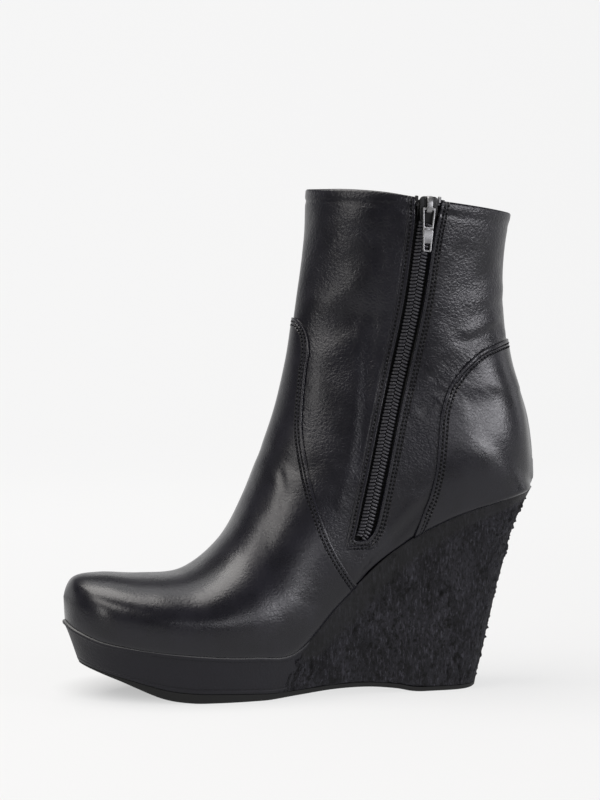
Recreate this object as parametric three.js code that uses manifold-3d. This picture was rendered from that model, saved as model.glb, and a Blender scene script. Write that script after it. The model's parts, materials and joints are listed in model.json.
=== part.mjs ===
// Right ankle boot on a covered wedge heel with a platform, zipped on its inner side.
// Millimetres, +Z up, toe towards -X, inner side towards -Y. The origin is on the floor, under the
// middle of the heel's flat spot.
import * as THREE from "three";
import { mergeVertices } from "three/addons/utils/BufferGeometryUtils.js";
import Module from "manifold-3d";

const wasm = await Module();
wasm.setup();

// Driving sizes of the last and the boot
const LENGTH = 236; // toe tip to heel back, along the floor
const HEEL_OVERHANG = 55.5; // heel back behind the origin
const BALL_WIDTH = 90; // over the upper at the ball
const ANKLE_WIDTH = 65; // over the upper at the ankle
const COLLAR_WIDTH = 79; // over the upper at the collar
const OUTSOLE_THICKNESS = 4.8; // at its thickest, under the forefoot
const PLATFORM_THICKNESS = 17.7; // between outsole and upper at the ball
const HEEL_PITCH = 76; // heel seat above the ball
const UPPER_HEIGHT = 224; // collar above the ball's seat
const TOE_SPRING = 17; // outsole's tip above the floor
const WAIST_LIFT = 3.4; // highest point of the waist above the floor

// Thicknesses and clearances
const WALL = 2.4; // leather and lining of the upper
const OVERLAY = 1; // vamp and counter leather, lapped over the shaft
const GAP = 0.3; // between pieces that meet
const LASTING_MARGIN = 1.2; // how far the wall turns under at its lower edge
const INSOLE_THICKNESS = 3;

// Platform and wedge
const LIP_OUT = 1.9; // rolled lip of the platform cover beyond the upper's lower edge
const LIP_HEIGHT = 2.4; // of the rolled lip
const LIP_RISE = 0.2; // top of the rolled lip above the seat
const COVER_OUT = 1; // covers of platform and wedge beyond the upper's lower edge
const WEDGE_HOLLOW = 6; // how far the heel's back curves in from a straight line
const JOINT_TOP_BACK = 122; // top of the joint between platform and wedge, ahead of the heel's back
const JOINT_SLOPE = 12.5; // how far that joint runs forward on its way down

// Zip
const SLOT_WIDTH = 10; // opening in the leather
const TAPE_MARGIN = 4; // tape past each edge of the slot, behind the wall
const TAPE_THICKNESS = 0.9;
const CHAIN_WIDTH = 7; // both rows of coils
const CHAIN_DEPTH = 0.7; // top of the coils below the leather's face
const SLIDER_LENGTH = 12.6;
const SLIDER_WIDTH = 9.4;
const SLIDER_PLATE = 1.3; // thickness of the slider's plate
const SLIDER_SIDE = 0.6; // thickness of its two sides
const SLIDER_DROP = 10.5; // its middle below the top of the upper's height
const SLIDER_TILT = 3; // degrees off the vertical, lower end forward
const BRIDGE_WIDTH = 2.2;
const BRIDGE_LENGTH = 7.6;
const BRIDGE_WALL = 0.8; // metal over and under the pull's pin
const PIN_RADIUS = 0.55; // pull's cross pin
const PIN_PLAY = 0.35; // room round the pin
const PULL_LENGTH = 20.2;
const PULL_TOP_WIDTH = 6.2;
const PULL_BOTTOM_WIDTH = 4.1;
const PULL_THICKNESS = 1.2;
const PULL_ARM = 1; // width of each arm of the fork
const FORK_LENGTH = 8; // from the pin to the fork's base
const EYE_WIDTH = 2; // hole near the pull's lower end
const EYE_LENGTH = 2.6;
const STOP_WIDTH = 1.3; // metal stops beside the slider
const STOP_LENGTH = 3;

// Finish of each material
const leather = new THREE.MeshStandardMaterial({ color: 0x1b1b1d, roughness: 0.42, metalness: 0 });
const coverLeather = new THREE.MeshStandardMaterial({ color: 0x1d1d1f, roughness: 0.5, metalness: 0 });
const roughLeather = new THREE.MeshStandardMaterial({ color: 0x1c1c1e, roughness: 0.9, metalness: 0 });
const rubber = new THREE.MeshStandardMaterial({ color: 0x1a1a1b, roughness: 0.75, metalness: 0 });
const footbed = new THREE.MeshStandardMaterial({ color: 0x242426, roughness: 0.7, metalness: 0 });
const tapeCloth = new THREE.MeshStandardMaterial({ color: 0x0e0e10, roughness: 0.95, metalness: 0 });
const nylon = new THREE.MeshStandardMaterial({ color: 0x17171a, roughness: 0.45, metalness: 0 });
const darkMetal = new THREE.MeshStandardMaterial({ color: 0x2c2c30, roughness: 0.3, metalness: 1 });
const paleMetal = new THREE.MeshStandardMaterial({ color: 0xa6a6ac, roughness: 0.35, metalness: 1 });

const SEAT_HEIGHT = OUTSOLE_THICKNESS + PLATFORM_THICKNESS;
const along = (share) => HEEL_OVERHANG - share * LENGTH; // 0 at the heel's back, 1 at the toe

// Outline of the last's bottom and of the sole's ground edge, from the toe to the heel's back.
// x columns are shares of LENGTH from the heel, y columns shares of BALL_WIDTH, inner side negative.
const OUTLINE = [
  { x: 0.996, inner: -0.078, outer: -0.078, groundX: 0.97, groundInner: -0.072, groundOuter: -0.072 },
  { x: 0.982, inner: -0.225, outer: 0.075, groundX: 0.957, groundInner: -0.2, groundOuter: 0.06 },
  { x: 0.934, inner: -0.345, outer: 0.205, groundX: 0.915, groundInner: -0.306, groundOuter: 0.183 },
  { x: 0.862, inner: -0.417, outer: 0.317, groundX: 0.85, groundInner: -0.372, groundOuter: 0.278 },
  { x: 0.777, inner: -0.455, outer: 0.405, groundX: 0.773, groundInner: -0.411, groundOuter: 0.361 },
  { x: 0.684, inner: -0.46, outer: 0.455, groundX: 0.688, groundInner: -0.417, groundOuter: 0.411 },
  { x: 0.6, inner: -0.422, outer: 0.466, groundX: 0.616, groundInner: -0.389, groundOuter: 0.422 },
  { x: 0.506, inner: -0.345, outer: 0.433, groundX: 0.553, groundInner: -0.344, groundOuter: 0.411 },
  { x: 0.405, inner: -0.295, outer: 0.384, groundX: 0.468, groundInner: -0.3, groundOuter: 0.372 },
  { x: 0.286, inner: -0.284, outer: 0.34, groundX: 0.362, groundInner: -0.272, groundOuter: 0.328 },
  { x: 0.167, inner: -0.294, outer: 0.322, groundX: 0.256, groundInner: -0.262, groundOuter: 0.295 },
  { x: 0.074, inner: -0.261, outer: 0.284, groundX: 0.18, groundInner: -0.233, groundOuter: 0.25 },
  { x: 0.03, inner: -0.15, outer: 0.172, groundX: 0.144, groundInner: -0.144, groundOuter: 0.161 },
  { x: 0.014, inner: 0.011, outer: 0.011, groundX: 0.131, groundInner: 0.006, groundOuter: 0.006 },
];

// Sections of the last from the toe over the instep to the shaft, each in a plane across the boot
// from its top point to its bottom point. x are shares of LENGTH from the heel; topZ and leg are shares
// of UPPER_HEIGHT and of its part above the heel seat; pitch is a share of HEEL_PITCH. girth is the
// share of the ball's, ankle's or collar's half width that `part` names; widest is the height of the
// widest point in the section; topPower and lowPower are its squareness above and below that point.
const SECTIONS = [
  { topX: 1.0, topZ: 0.121, x: 0.996, pitch: 0.21, leg: 0, girth: 0.0, part: "ball", widest: 0.45, topPower: 2.2, lowPower: 2.2 },
  { topX: 0.98, topZ: 0.158, x: 0.982, pitch: 0.172, leg: 0, girth: 0.35, part: "ball", widest: 0.43, topPower: 2.25, lowPower: 2.2 },
  { topX: 0.926, topZ: 0.165, x: 0.93, pitch: 0.105, leg: 0, girth: 0.655, part: "ball", widest: 0.4, topPower: 2.3, lowPower: 2.2 },
  { topX: 0.837, topZ: 0.159, x: 0.837, pitch: 0.054, leg: 0, girth: 0.872, part: "ball", widest: 0.37, topPower: 2.3, lowPower: 2.2 },
  { topX: 0.743, topZ: 0.167, x: 0.736, pitch: 0.018, leg: 0, girth: 0.973, part: "ball", widest: 0.34, topPower: 2.2, lowPower: 2.2 },
  { topX: 0.667, topZ: 0.23, x: 0.633, pitch: 0.0, leg: 0, girth: 1.0, part: "ball", widest: 0.28, topPower: 1.95, lowPower: 2.2 },
  { topX: 0.616, topZ: 0.326, x: 0.542, pitch: 0.015, leg: 0, girth: 0.945, part: "ball", widest: 0.27, topPower: 1.85, lowPower: 2.2 },
  { topX: 0.578, topZ: 0.428, x: 0.447, pitch: 0.302, leg: 0, girth: 1.155, part: "ankle", widest: 0.3, topPower: 1.85, lowPower: 2.2 },
  { topX: 0.548, topZ: 0.522, x: 0.337, pitch: 0.61, leg: 0, girth: 1.07, part: "ankle", widest: 0.35, topPower: 1.85, lowPower: 2.2 },
  { topX: 0.529, topZ: 0.612, x: 0.21, pitch: 0.838, leg: 0, girth: 1.033, part: "ankle", widest: 0.4, topPower: 1.9, lowPower: 2.2 },
  { topX: 0.517, topZ: 0.694, x: 0.083, pitch: 0.96, leg: 0, girth: 1.01, part: "ankle", widest: 0.43, topPower: 1.9, lowPower: 2.2 },
  { topX: 0.51, topZ: 0.744, x: 0.018, pitch: 1.0, leg: 0.002, girth: 1.0, part: "ankle", widest: 0.45, topPower: 1.95, lowPower: 2.1 },
  { topX: 0.505, topZ: 0.78, x: 0.009, pitch: 1.0, leg: 0.08, girth: 1.003, part: "ankle", widest: 0.46, topPower: 2, lowPower: 2 },
  { topX: 0.5, topZ: 0.818, x: 0.021, pitch: 1.0, leg: 0.232, girth: 1.025, part: "ankle", widest: 0.48, topPower: 2, lowPower: 2 },
  { topX: 0.495, topZ: 0.86, x: 0.057, pitch: 1.0, leg: 0.427, girth: 0.88, part: "collar", widest: 0.49, topPower: 2, lowPower: 2 },
  { topX: 0.49, topZ: 0.91, x: 0.073, pitch: 1.0, leg: 0.644, girth: 0.935, part: "collar", widest: 0.5, topPower: 2, lowPower: 2 },
  { topX: 0.488, topZ: 0.972, x: 0.066, pitch: 1.0, leg: 0.836, girth: 0.98, part: "collar", widest: 0.5, topPower: 2, lowPower: 2 },
  { topX: 0.486, topZ: 1.045, x: 0.042, pitch: 1.0, leg: 1.01, girth: 1.015, part: "collar", widest: 0.5, topPower: 2, lowPower: 2 },
];
const BACK_FLAT = 4; // half width of the section's flat where it runs up the heel's back
const NOSE_HALF_WIDTH = 1.2; // of the first section, which closes the toe
const HALF_WIDTHS = { ball: BALL_WIDTH / 2, ankle: ANKLE_WIDTH / 2, collar: COLLAR_WIDTH / 2 };
const ACROSS_LOW = 7; // points on a section's side below its widest point
const ACROSS_TOP = 8; // and above it
const SECTION_STEPS = 2; // sections made between two rows of the table
const OUTLINE_STEPS = 3;

// Underside of the sole: x from the heel as shares of LENGTH, lifts as shares of TOE_SPRING and
// WAIST_LIFT, and the outsole's thickness as a share of OUTSOLE_THICKNESS.
const GROUND = [
  { x: 0.97, toe: 1, waist: 0, thick: 0.28 },
  { x: 0.932, toe: 0.8, waist: 0, thick: 0.32 },
  { x: 0.902, toe: 0.64, waist: 0, thick: 0.45 },
  { x: 0.872, toe: 0.46, waist: 0, thick: 0.66 },
  { x: 0.844, toe: 0.29, waist: 0, thick: 0.86 },
  { x: 0.82, toe: 0.165, waist: 0, thick: 0.97 },
  { x: 0.795, toe: 0.08, waist: 0, thick: 1 },
  { x: 0.765, toe: 0.025, waist: 0, thick: 1 },
  { x: 0.735, toe: 0, waist: 0, thick: 0.97 },
  { x: 0.67, toe: 0, waist: 0, thick: 0.85 },
  { x: 0.6, toe: 0, waist: 0, thick: 0.68 },
  { x: 0.53, toe: 0, waist: 0.42, thick: 0.54 },
  { x: 0.45, toe: 0, waist: 0.93, thick: 0.48 },
  { x: 0.38, toe: 0, waist: 1, thick: 0.46 },
  { x: 0.32, toe: 0, waist: 0.6, thick: 0.46 },
  { x: 0.265, toe: 0, waist: 0, thick: 0.46 },
  { x: 0.13, toe: 0, waist: 0, thick: 0.46 },
];

// Seams and edges in side view: x as shares of LENGTH from the heel, z as shares of UPPER_HEIGHT above the seat.
const VAMP_SEAM = [
  { x: 0.6, z: 0.72 },
  { x: 0.52, z: 0.717 },
  { x: 0.508, z: 0.71 },
  { x: 0.498, z: 0.689 },
  { x: 0.494, z: 0.649 },
  { x: 0.502, z: 0.595 },
  { x: 0.51, z: 0.53 },
  { x: 0.514, z: 0.477 },
  { x: 0.51, z: 0.413 },
  { x: 0.501, z: 0.35 },
  { x: 0.485, z: 0.286 },
  { x: 0.461, z: 0.221 },
  { x: 0.426, z: 0.163 },
  { x: 0.37, z: 0.09 },
];
const COUNTER_SEAM = [
  { x: -0.05, z: 0.667 },
  { x: 0.069, z: 0.666 },
  { x: 0.112, z: 0.658 },
  { x: 0.149, z: 0.644 },
  { x: 0.188, z: 0.61 },
  { x: 0.218, z: 0.567 },
  { x: 0.235, z: 0.515 },
  { x: 0.241, z: 0.454 },
  { x: 0.247, z: 0.389 },
  { x: 0.259, z: 0.33 },
  { x: 0.276, z: 0.28 },
  { x: 0.3, z: 0.2 },
];
const COLLAR_EDGE = [
  { x: 0.62, z: 0.995 },
  { x: 0.49, z: 0.997 },
  { x: 0.43, z: 0.997 },
  { x: 0.36, z: 0.991 },
  { x: 0.28, z: 0.977 },
  { x: 0.15, z: 0.958 },
  { x: 0.05, z: 0.942 },
  { x: -0.1, z: 0.92 },
];
// width is a share of SLOT_WIDTH
const ZIP_LINE = [
  { x: 0.266, z: 1.03, width: 1.4 },
  { x: 0.269, z: 0.975, width: 1.34 },
  { x: 0.273, z: 0.93, width: 1.14 },
  { x: 0.279, z: 0.887, width: 1.05 },
  { x: 0.296, z: 0.743, width: 0.99 },
  { x: 0.318, z: 0.62, width: 0.97 },
  { x: 0.345, z: 0.495, width: 0.96 },
  { x: 0.364, z: 0.398, width: 0.98 },
  { x: 0.383, z: 0.303, width: 1.02 },
  { x: 0.392, z: 0.262, width: 0.98 },
  { x: 0.402, z: 0.238, width: 0.8 },
];

// Reads a table between its rows with a smooth curve. `mirrored` gives the columns that change sign
// past the table's ends, where an outline closes round a tip.
function readTable(rows, t, mirrored = []) {
  const last = rows.length - 1;
  const i = Math.min(Math.floor(t), last - 1);
  const f = t - i;
  const row = (k, key) => {
    if (k >= 0 && k <= last) return rows[k][key];
    const tip = k < 0 ? rows[0] : rows[last];
    const inside = k < 0 ? rows[1] : rows[last - 1];
    if (!mirrored.length) return 2 * tip[key] - inside[key];
    return mirrored.includes(key) ? 2 * tip[key] - inside[key] : inside[key];
  };
  const out = {};
  for (const key of Object.keys(rows[0])) {
    if (typeof rows[0][key] !== "number") continue;
    const [a, b, c, d] = [row(i - 1, key), row(i, key), row(i + 1, key), row(i + 2, key)];
    out[key] = b + 0.5 * f * (c - a + f * (2 * a - 5 * b + 4 * c - d + f * (3 * (b - c) + d - a)));
  }
  return out;
}

// Value of y at x on a line of points whose x falls or rises all the way
function valueAt(points, x) {
  const falling = points[0].x > points[points.length - 1].x;
  const line = falling ? points : [...points].reverse();
  if (x >= line[0].x) return line[0].y;
  for (let i = 1; i < line.length; i++) {
    if (x >= line[i].x) {
      const share = (x - line[i].x) / (line[i - 1].x - line[i].x);
      return line[i].y + share * (line[i - 1].y - line[i].y);
    }
  }
  return line[line.length - 1].y;
}

// Sections of the last in millimetres, read between the table's rows
function sectionRows() {
  const rows = SECTIONS.map((s) => ({ ...s, half: s.girth * HALF_WIDTHS[s.part] }));
  const made = [];
  for (let k = 0; k <= (rows.length - 1) * SECTION_STEPS; k++) {
    const s = readTable(rows, k / SECTION_STEPS, k < 2 * SECTION_STEPS ? ["half"] : []);
    const seat = SEAT_HEIGHT + s.pitch * HEEL_PITCH;
    made.push({
      top: [along(s.topX), SEAT_HEIGHT + s.topZ * UPPER_HEIGHT],
      bottom: [along(s.x), seat + s.leg * (UPPER_HEIGHT - HEEL_PITCH)],
      half: Math.max(s.half, NOSE_HALF_WIDTH),
      leg: s.leg,
      widest: s.widest,
      topPower: s.topPower,
      lowPower: s.lowPower,
    });
  }
  return made;
}
const sections = sectionRows();

// Outline stations in millimetres: the last's bottom edge and the ground edge, on both sides
const stations = [];
for (let k = 0; k <= (OUTLINE.length - 1) * OUTLINE_STEPS; k++) {
  const t = k / OUTLINE_STEPS;
  const middle = (o) => ({ ...o, mid: (o.inner + o.outer) / 2, half: (o.outer - o.inner) / 2,
    groundMid: (o.groundInner + o.groundOuter) / 2, groundHalf: (o.groundOuter - o.groundInner) / 2 });
  const o = readTable(OUTLINE.map(middle), t, ["half", "groundHalf"]);
  stations.push({
    x: along(o.x),
    mid: o.mid * BALL_WIDTH,
    half: Math.max(o.half * BALL_WIDTH, 0.05),
    groundX: along(o.groundX),
    groundMid: o.groundMid * BALL_WIDTH,
    groundHalf: Math.max(o.groundHalf * BALL_WIDTH, 0.05),
  });
}

// Plan normals of the outline, for widening it evenly
stations.forEach((s, k) => {
  const a = stations[Math.max(k - 1, 0)];
  const b = stations[Math.min(k + 1, stations.length - 1)];
  const atTip = k === 0 || k === stations.length - 1;
  const n = new THREE.Vector2(a.half - b.half, b.x - a.x).normalize();
  s.normal = atTip ? [k === 0 ? -1 : 1, 0] : [n.x, n.y];
});

const halfAt = (x) => valueAt(stations.map((s) => ({ x: s.x, y: s.half })), x);
const midAt = (x) => valueAt(stations.map((s) => ({ x: s.x, y: s.mid })), x);

// Height of the last's bottom over x, from the sections that stand on the sole
const footSections = sections.filter((s, i) => s.leg < 0.01 && (i === 0 || s.bottom[0] > sections[i - 1].bottom[0]));
const seatAt = (x) => valueAt(footSections.map((s) => ({ x: s.bottom[0], y: s.bottom[1] })), x);

// Height of the outsole's underside over x
const groundRows = [];
for (let k = 0; k <= (GROUND.length - 1) * 3; k++) {
  const g = readTable(GROUND, k / 3);
  const lift = Math.max(0, g.toe * TOE_SPRING + g.waist * WAIST_LIFT);
  groundRows.push({ x: along(g.x), y: lift, thick: g.thick * OUTSOLE_THICKNESS });
}
const groundAt = (x) => valueAt(groundRows, x);
const outsoleAt = (x) => valueAt(groundRows.map((g) => ({ x: g.x, y: g.thick })), x);

// One section's points: from the bottom's middle out to the inner edge, up that side to the top,
// and down the other side.
function sectionLoop(s) {
  const [tx, tz] = s.top;
  const [bx, bz] = s.bottom;
  const onSole = s.leg < 0.01;
  const flat = Math.min(onSole ? Math.max(halfAt(bx), BACK_FLAT) : BACK_FLAT, 0.93 * s.half);
  const centreLow = onSole ? midAt(bx) : midAt(along(0));
  const side = [[flat, 0]];
  for (let k = 1; k <= ACROSS_LOW; k++) {
    const a = ((k / ACROSS_LOW) * Math.PI) / 2;
    const y = flat + (s.half - flat) * Math.sin(a) ** (2 / s.lowPower);
    side.push([y, s.widest * (1 - Math.cos(a) ** (2 / s.lowPower))]);
  }
  for (let k = 1; k < ACROSS_TOP; k++) {
    const a = ((k / ACROSS_TOP) * Math.PI) / 2;
    const y = s.half * Math.cos(a) ** (2 / s.topPower);
    side.push([y, s.widest + (1 - s.widest) * Math.sin(a) ** (2 / s.topPower)]);
  }
  const point = (y, v) => [bx + v * (tx - bx), centreLow + y, bz + v * (tz - bz)];
  const inner = side.map(([y, v]) => point(-y, v));
  const outer = side.map(([y, v]) => point(y, v)).reverse();
  return [point(0, 0), ...inner, point(0, 1), ...outer];
}

// Solids as manifold-3d holds them
function solidOf(points, triangles) {
  return new wasm.Manifold(
    new wasm.Mesh({ numProp: 3, vertProperties: new Float32Array(points.flat()), triVerts: new Uint32Array(triangles.flat()) }),
  );
}

// Closed skin over a stack of loops with as many points each; the ends are closed by fans
function skin(loops) {
  const n = loops[0].length;
  const points = loops.flat();
  const triangles = [];
  for (let i = 0; i + 1 < loops.length; i++) {
    for (let j = 0; j < n; j++) {
      const [a, b] = [i * n + j, i * n + ((j + 1) % n)];
      triangles.push([a, a + n, b], [b, a + n, b + n]);
    }
  }
  for (const [loop, turned] of [[0, false], [loops.length - 1, true]]) {
    const centre = points.length;
    const sum = loops[loop].reduce((c, p) => c.map((v, k) => v + p[k] / n), [0, 0, 0]);
    points.push(sum);
    for (let j = 0; j < n; j++) {
      const [a, b] = [loop * n + j, loop * n + ((j + 1) % n)];
      triangles.push(turned ? [b, a, centre] : [a, b, centre]);
    }
  }
  return { points, triangles };
}

// Outward normal at each point of a closed skin
function normalsOf({ points, triangles }) {
  const normals = points.map(() => new THREE.Vector3());
  const corner = (k) => new THREE.Vector3(...points[k]);
  for (const [a, b, c] of triangles) {
    const n = corner(b).sub(corner(a)).cross(corner(c).sub(corner(a)));
    for (const k of [a, b, c]) normals[k].add(n);
  }
  return normals.map((n) => n.normalize());
}

const lastSkin = skin(sections.map(sectionLoop));
const lastNormals = normalsOf(lastSkin);

// The last, grown outwards by `out` millimetres, or drawn in where it is negative
function last(out) {
  const points = lastSkin.points.map((p, k) => {
    const n = lastNormals[k];
    return [p[0] + out * n.x, p[1] + out * n.y, p[2] + out * n.z];
  });
  return solidOf(points, lastSkin.triangles);
}

// Prism across the boot over an outline in side view, between two values of y
function sidePrism(outline, fromY = -200, toY = 200) {
  const shape = new THREE.Shape(outline.map(([x, z]) => new THREE.Vector2(x, z)));
  const g = new THREE.ExtrudeGeometry(shape, { depth: toY - fromY, bevelEnabled: false });
  g.rotateX(Math.PI / 2);
  g.translate(0, toY, 0);
  return solidFromGeometry(g);
}

function solidFromGeometry(geometry) {
  const g = geometry.clone();
  g.deleteAttribute("normal");
  g.deleteAttribute("uv");
  const merged = mergeVertices(g, 1e-4);
  return new wasm.Manifold(
    new wasm.Mesh({ numProp: 3, vertProperties: merged.attributes.position.array, triVerts: new Uint32Array(merged.index.array) }),
  );
}

function geometryOf(solid) {
  const m = solid.getMesh();
  const positions = new Float32Array(m.numVert * 3);
  for (let i = 0; i < m.numVert; i++) {
    positions.set(m.vertProperties.subarray(i * m.numProp, i * m.numProp + 3), i * 3);
  }
  const g = new THREE.BufferGeometry();
  g.setAttribute("position", new THREE.BufferAttribute(positions, 3));
  g.setIndex(new THREE.BufferAttribute(new Uint32Array(m.triVerts), 1));
  g.computeVertexNormals();
  return g;
}

// A seam's smooth line in side view, as points in millimetres
function seamLine(rows, steps = 4) {
  const line = [];
  for (let k = 0; k <= (rows.length - 1) * steps; k++) {
    const s = readTable(rows, k / steps);
    line.push([along(s.x), SEAT_HEIGHT + s.z * UPPER_HEIGHT, s.width]);
  }
  return line;
}

const FAR = 400; // past the boot on any side

// Upper: one shell, thicker where vamp and counter lap over the shaft, open at the collar, at the zip
// and underneath.
function slotOutline(widthAt) {
  const line = seamLine(ZIP_LINE, 2);
  const front = line.map(([x, z, width]) => [x - widthAt(width * SLOT_WIDTH) / 2, z]);
  const back = line.map(([x, z, width]) => [x + widthAt(width * SLOT_WIDTH) / 2, z]).reverse();
  return [...front, ...back];
}

function aboveCollar() {
  const edge = seamLine(COLLAR_EDGE);
  return sidePrism([...edge, [FAR, edge[edge.length - 1][1]], [FAR, FAR], [-FAR, FAR], [-FAR, edge[0][1]]]);
}

function vampRegion() {
  const seam = seamLine(VAMP_SEAM);
  return sidePrism([[-FAR, seam[0][1]], ...seam, [seam[seam.length - 1][0], 0], [-FAR, 0]]);
}

function counterRegion() {
  const seam = seamLine(COUNTER_SEAM);
  return sidePrism([[FAR, seam[0][1]], ...seam, [seam[seam.length - 1][0], 0], [FAR, 0]]);
}

const collarCut = aboveCollar();

// Prism standing on the last's bottom outline, drawn in by `inset` millimetres, and the layer of it
// between two heights over the seat
function solePrism(inset) {
  const edge = (side) => stations.map((s) => [s.x - inset * s.normal[0], s.mid + side * Math.max(s.half - inset * s.normal[1], 0)]);
  const rows = [edge(-1), edge(1)];
  const inside = stations.map((s, k) => k).filter((k) => rows[1][k][1] - rows[0][k][1] > 1);
  const plan = [...inside.map((k) => rows[0][k]), ...inside.reverse().map((k) => rows[1][k])];
  const shape = new THREE.Shape(plan.map(([x, y]) => new THREE.Vector2(x, y)));
  return solidFromGeometry(new THREE.ExtrudeGeometry(shape, { depth: FAR, bevelEnabled: false }));
}

function seatLayer(from, to) {
  const line = footSections.map((s) => s.bottom);
  const [toe, heel] = [line[0], line[line.length - 1]];
  const base = [[toe[0] - 20, toe[1]], ...line, [heel[0] + 20, heel[1]]];
  return sidePrism([...base.map(([x, z]) => [x, z + from]), ...base.map(([x, z]) => [x, z + to]).reverse()]);
}

// Vamp and counter leather, from the seat upwards, grown by `extra` millimetres
function overlaysOf(extra) {
  const regions = vampRegion().translate([extra, 0, 0]).add(counterRegion().translate([-extra, 0, 0]));
  return last(OVERLAY + extra).intersect(regions).intersect(seatLayer(-extra, FAR));
}

function makeUpper() {
  const overlays = overlaysOf(0);
  const opening = solePrism(WALL + LASTING_MARGIN).intersect(seatLayer(-WALL, 2 * WALL));
  const slot = sidePrism(slotOutline((width) => width), -FAR, 0);
  return last(0).add(overlays).subtract(last(-WALL)).subtract(opening).subtract(collarCut).subtract(slot);
}

function makeInsole() {
  return solePrism(WALL + LASTING_MARGIN + GAP).intersect(seatLayer(0, INSOLE_THICKNESS));
}

// Point on the sole's side: at `share` of the way from ground edge to the last's bottom edge
function solePoint(s, side, share, out) {
  const ground = new THREE.Vector3(s.groundX, s.groundMid + side * s.groundHalf, groundAt(s.groundX));
  const seat = new THREE.Vector3(s.x, s.mid + side * s.half, seatAt(s.x));
  const p = ground.lerp(seat, share);
  const backness = THREE.MathUtils.smoothstep(s.x, along(0.35), along(0));
  p.x -= backness * WEDGE_HOLLOW * (share - share ** 6);
  p.x += out * s.normal[0];
  p.y += side * out * s.normal[1];
  return p;
}

// Share of a station's height at which the outsole ends, with `extra` millimetres on top
function outsoleShare(s, extra) {
  return (outsoleAt(s.groundX) + extra) / (seatAt(s.x) - groundAt(s.groundX));
}

// Closed solid between rings; each ring gives a share of the height, a rise and an outward step
function soleSolid(rings) {
  const loops = rings.map(({ share, rise = 0, out = 0 }) => {
    const point = (s, side) => {
      const p = solePoint(s, side, share(s), out);
      return [p.x, p.y, p.z + rise];
    };
    const inner = stations.map((s) => point(s, -1));
    const outer = stations.map((s) => point(s, 1)).reverse();
    return [...inner, ...outer];
  });
  const n = loops[0].length;
  const points = loops.flat();
  const triangles = [];
  for (let i = 0; i + 1 < loops.length; i++) {
    for (let j = 0; j < n; j++) {
      const [a, b] = [i * n + j, i * n + ((j + 1) % n)];
      triangles.push([a, b, a + n], [b, b + n, a + n]);
    }
  }
  const top = (loops.length - 1) * n;
  for (let j = 0; j + 1 < n / 2; j++) {
    const [a, b, c, d] = [j, j + 1, n - 2 - j, n - 1 - j];
    triangles.push([b, a, d], [b, d, c]);
    triangles.push([top + a, top + b, top + d], [top + b, top + c, top + d]);
  }
  return solidOf(points, triangles);
}

const lerpShare = (extra, part) => (s) => {
  const low = outsoleShare(s, extra);
  return low + (1 - low) * part;
};

// The joint between platform and wedge, as a prism that reaches from it to the toe
function aheadOfJoint(shift) {
  const topX = HEEL_OVERHANG - JOINT_TOP_BACK + shift;
  const topZ = seatAt(topX);
  const slope = JOINT_SLOPE / topZ;
  const at = (z) => topX - (topZ - z) * slope;
  return sidePrism([[at(-10), -10], [at(FAR), FAR], [-FAR, FAR], [-FAR, -10]]);
}

const seatCut = last(GAP).add(overlaysOf(GAP));

function makePlatform() {
  const body = soleSolid([
    { share: lerpShare(GAP, 0), out: COVER_OUT - 0.6 },
    { share: lerpShare(GAP, 0.5), out: COVER_OUT - 0.2 },
    { share: () => 1, rise: -LIP_HEIGHT, out: COVER_OUT + 0.3 },
    { share: () => 1, rise: -LIP_HEIGHT / 2, out: LIP_OUT },
    { share: () => 1, rise: LIP_RISE - 0.4, out: LIP_OUT - 0.1 },
    { share: () => 1, rise: LIP_RISE, out: LIP_OUT - 0.4 },
  ]);
  return body.intersect(aheadOfJoint(-GAP / 2)).subtract(seatCut);
}

function makeWedge() {
  const body = soleSolid([
    { share: lerpShare(GAP, 0), out: 0 },
    { share: lerpShare(GAP, 0.25), out: COVER_OUT * 0.4 },
    { share: lerpShare(GAP, 0.5), out: COVER_OUT * 0.7 },
    { share: lerpShare(GAP, 0.75), out: COVER_OUT },
    { share: lerpShare(GAP, 0.9), out: COVER_OUT },
    { share: () => 1, rise: -GAP, out: COVER_OUT },
  ]);
  return body.subtract(aheadOfJoint(GAP / 2)).subtract(seatCut);
}

function makeOutsole() {
  return soleSolid([
    { share: () => 0, out: -0.9 },
    { share: (s) => outsoleShare(s, 0) * 0.45, out: 0 },
    { share: (s) => outsoleShare(s, 0), out: 0.2 },
  ]);
}

// Zip: tape behind the slot and the closed chain of coils in it
function layer(from, to) {
  return last(-from).subtract(last(-to));
}

function makeTape() {
  const strip = sidePrism(slotOutline((width) => width + 2 * TAPE_MARGIN), -FAR, -1);
  return layer(WALL + GAP, WALL + GAP + TAPE_THICKNESS).intersect(strip).subtract(collarCut);
}

function makeChain() {
  const strip = sidePrism(slotOutline((width) => Math.min(CHAIN_WIDTH, width - 2 * GAP)), -FAR, -1);
  const aboveEnd = sidePrism(slotOutline((width) => width), -FAR, -1).translate([0, 0, GAP]);
  return layer(CHAIN_DEPTH, WALL).intersect(strip).intersect(aboveEnd).subtract(collarCut.translate([0, 0, -GAP]));
}

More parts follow.
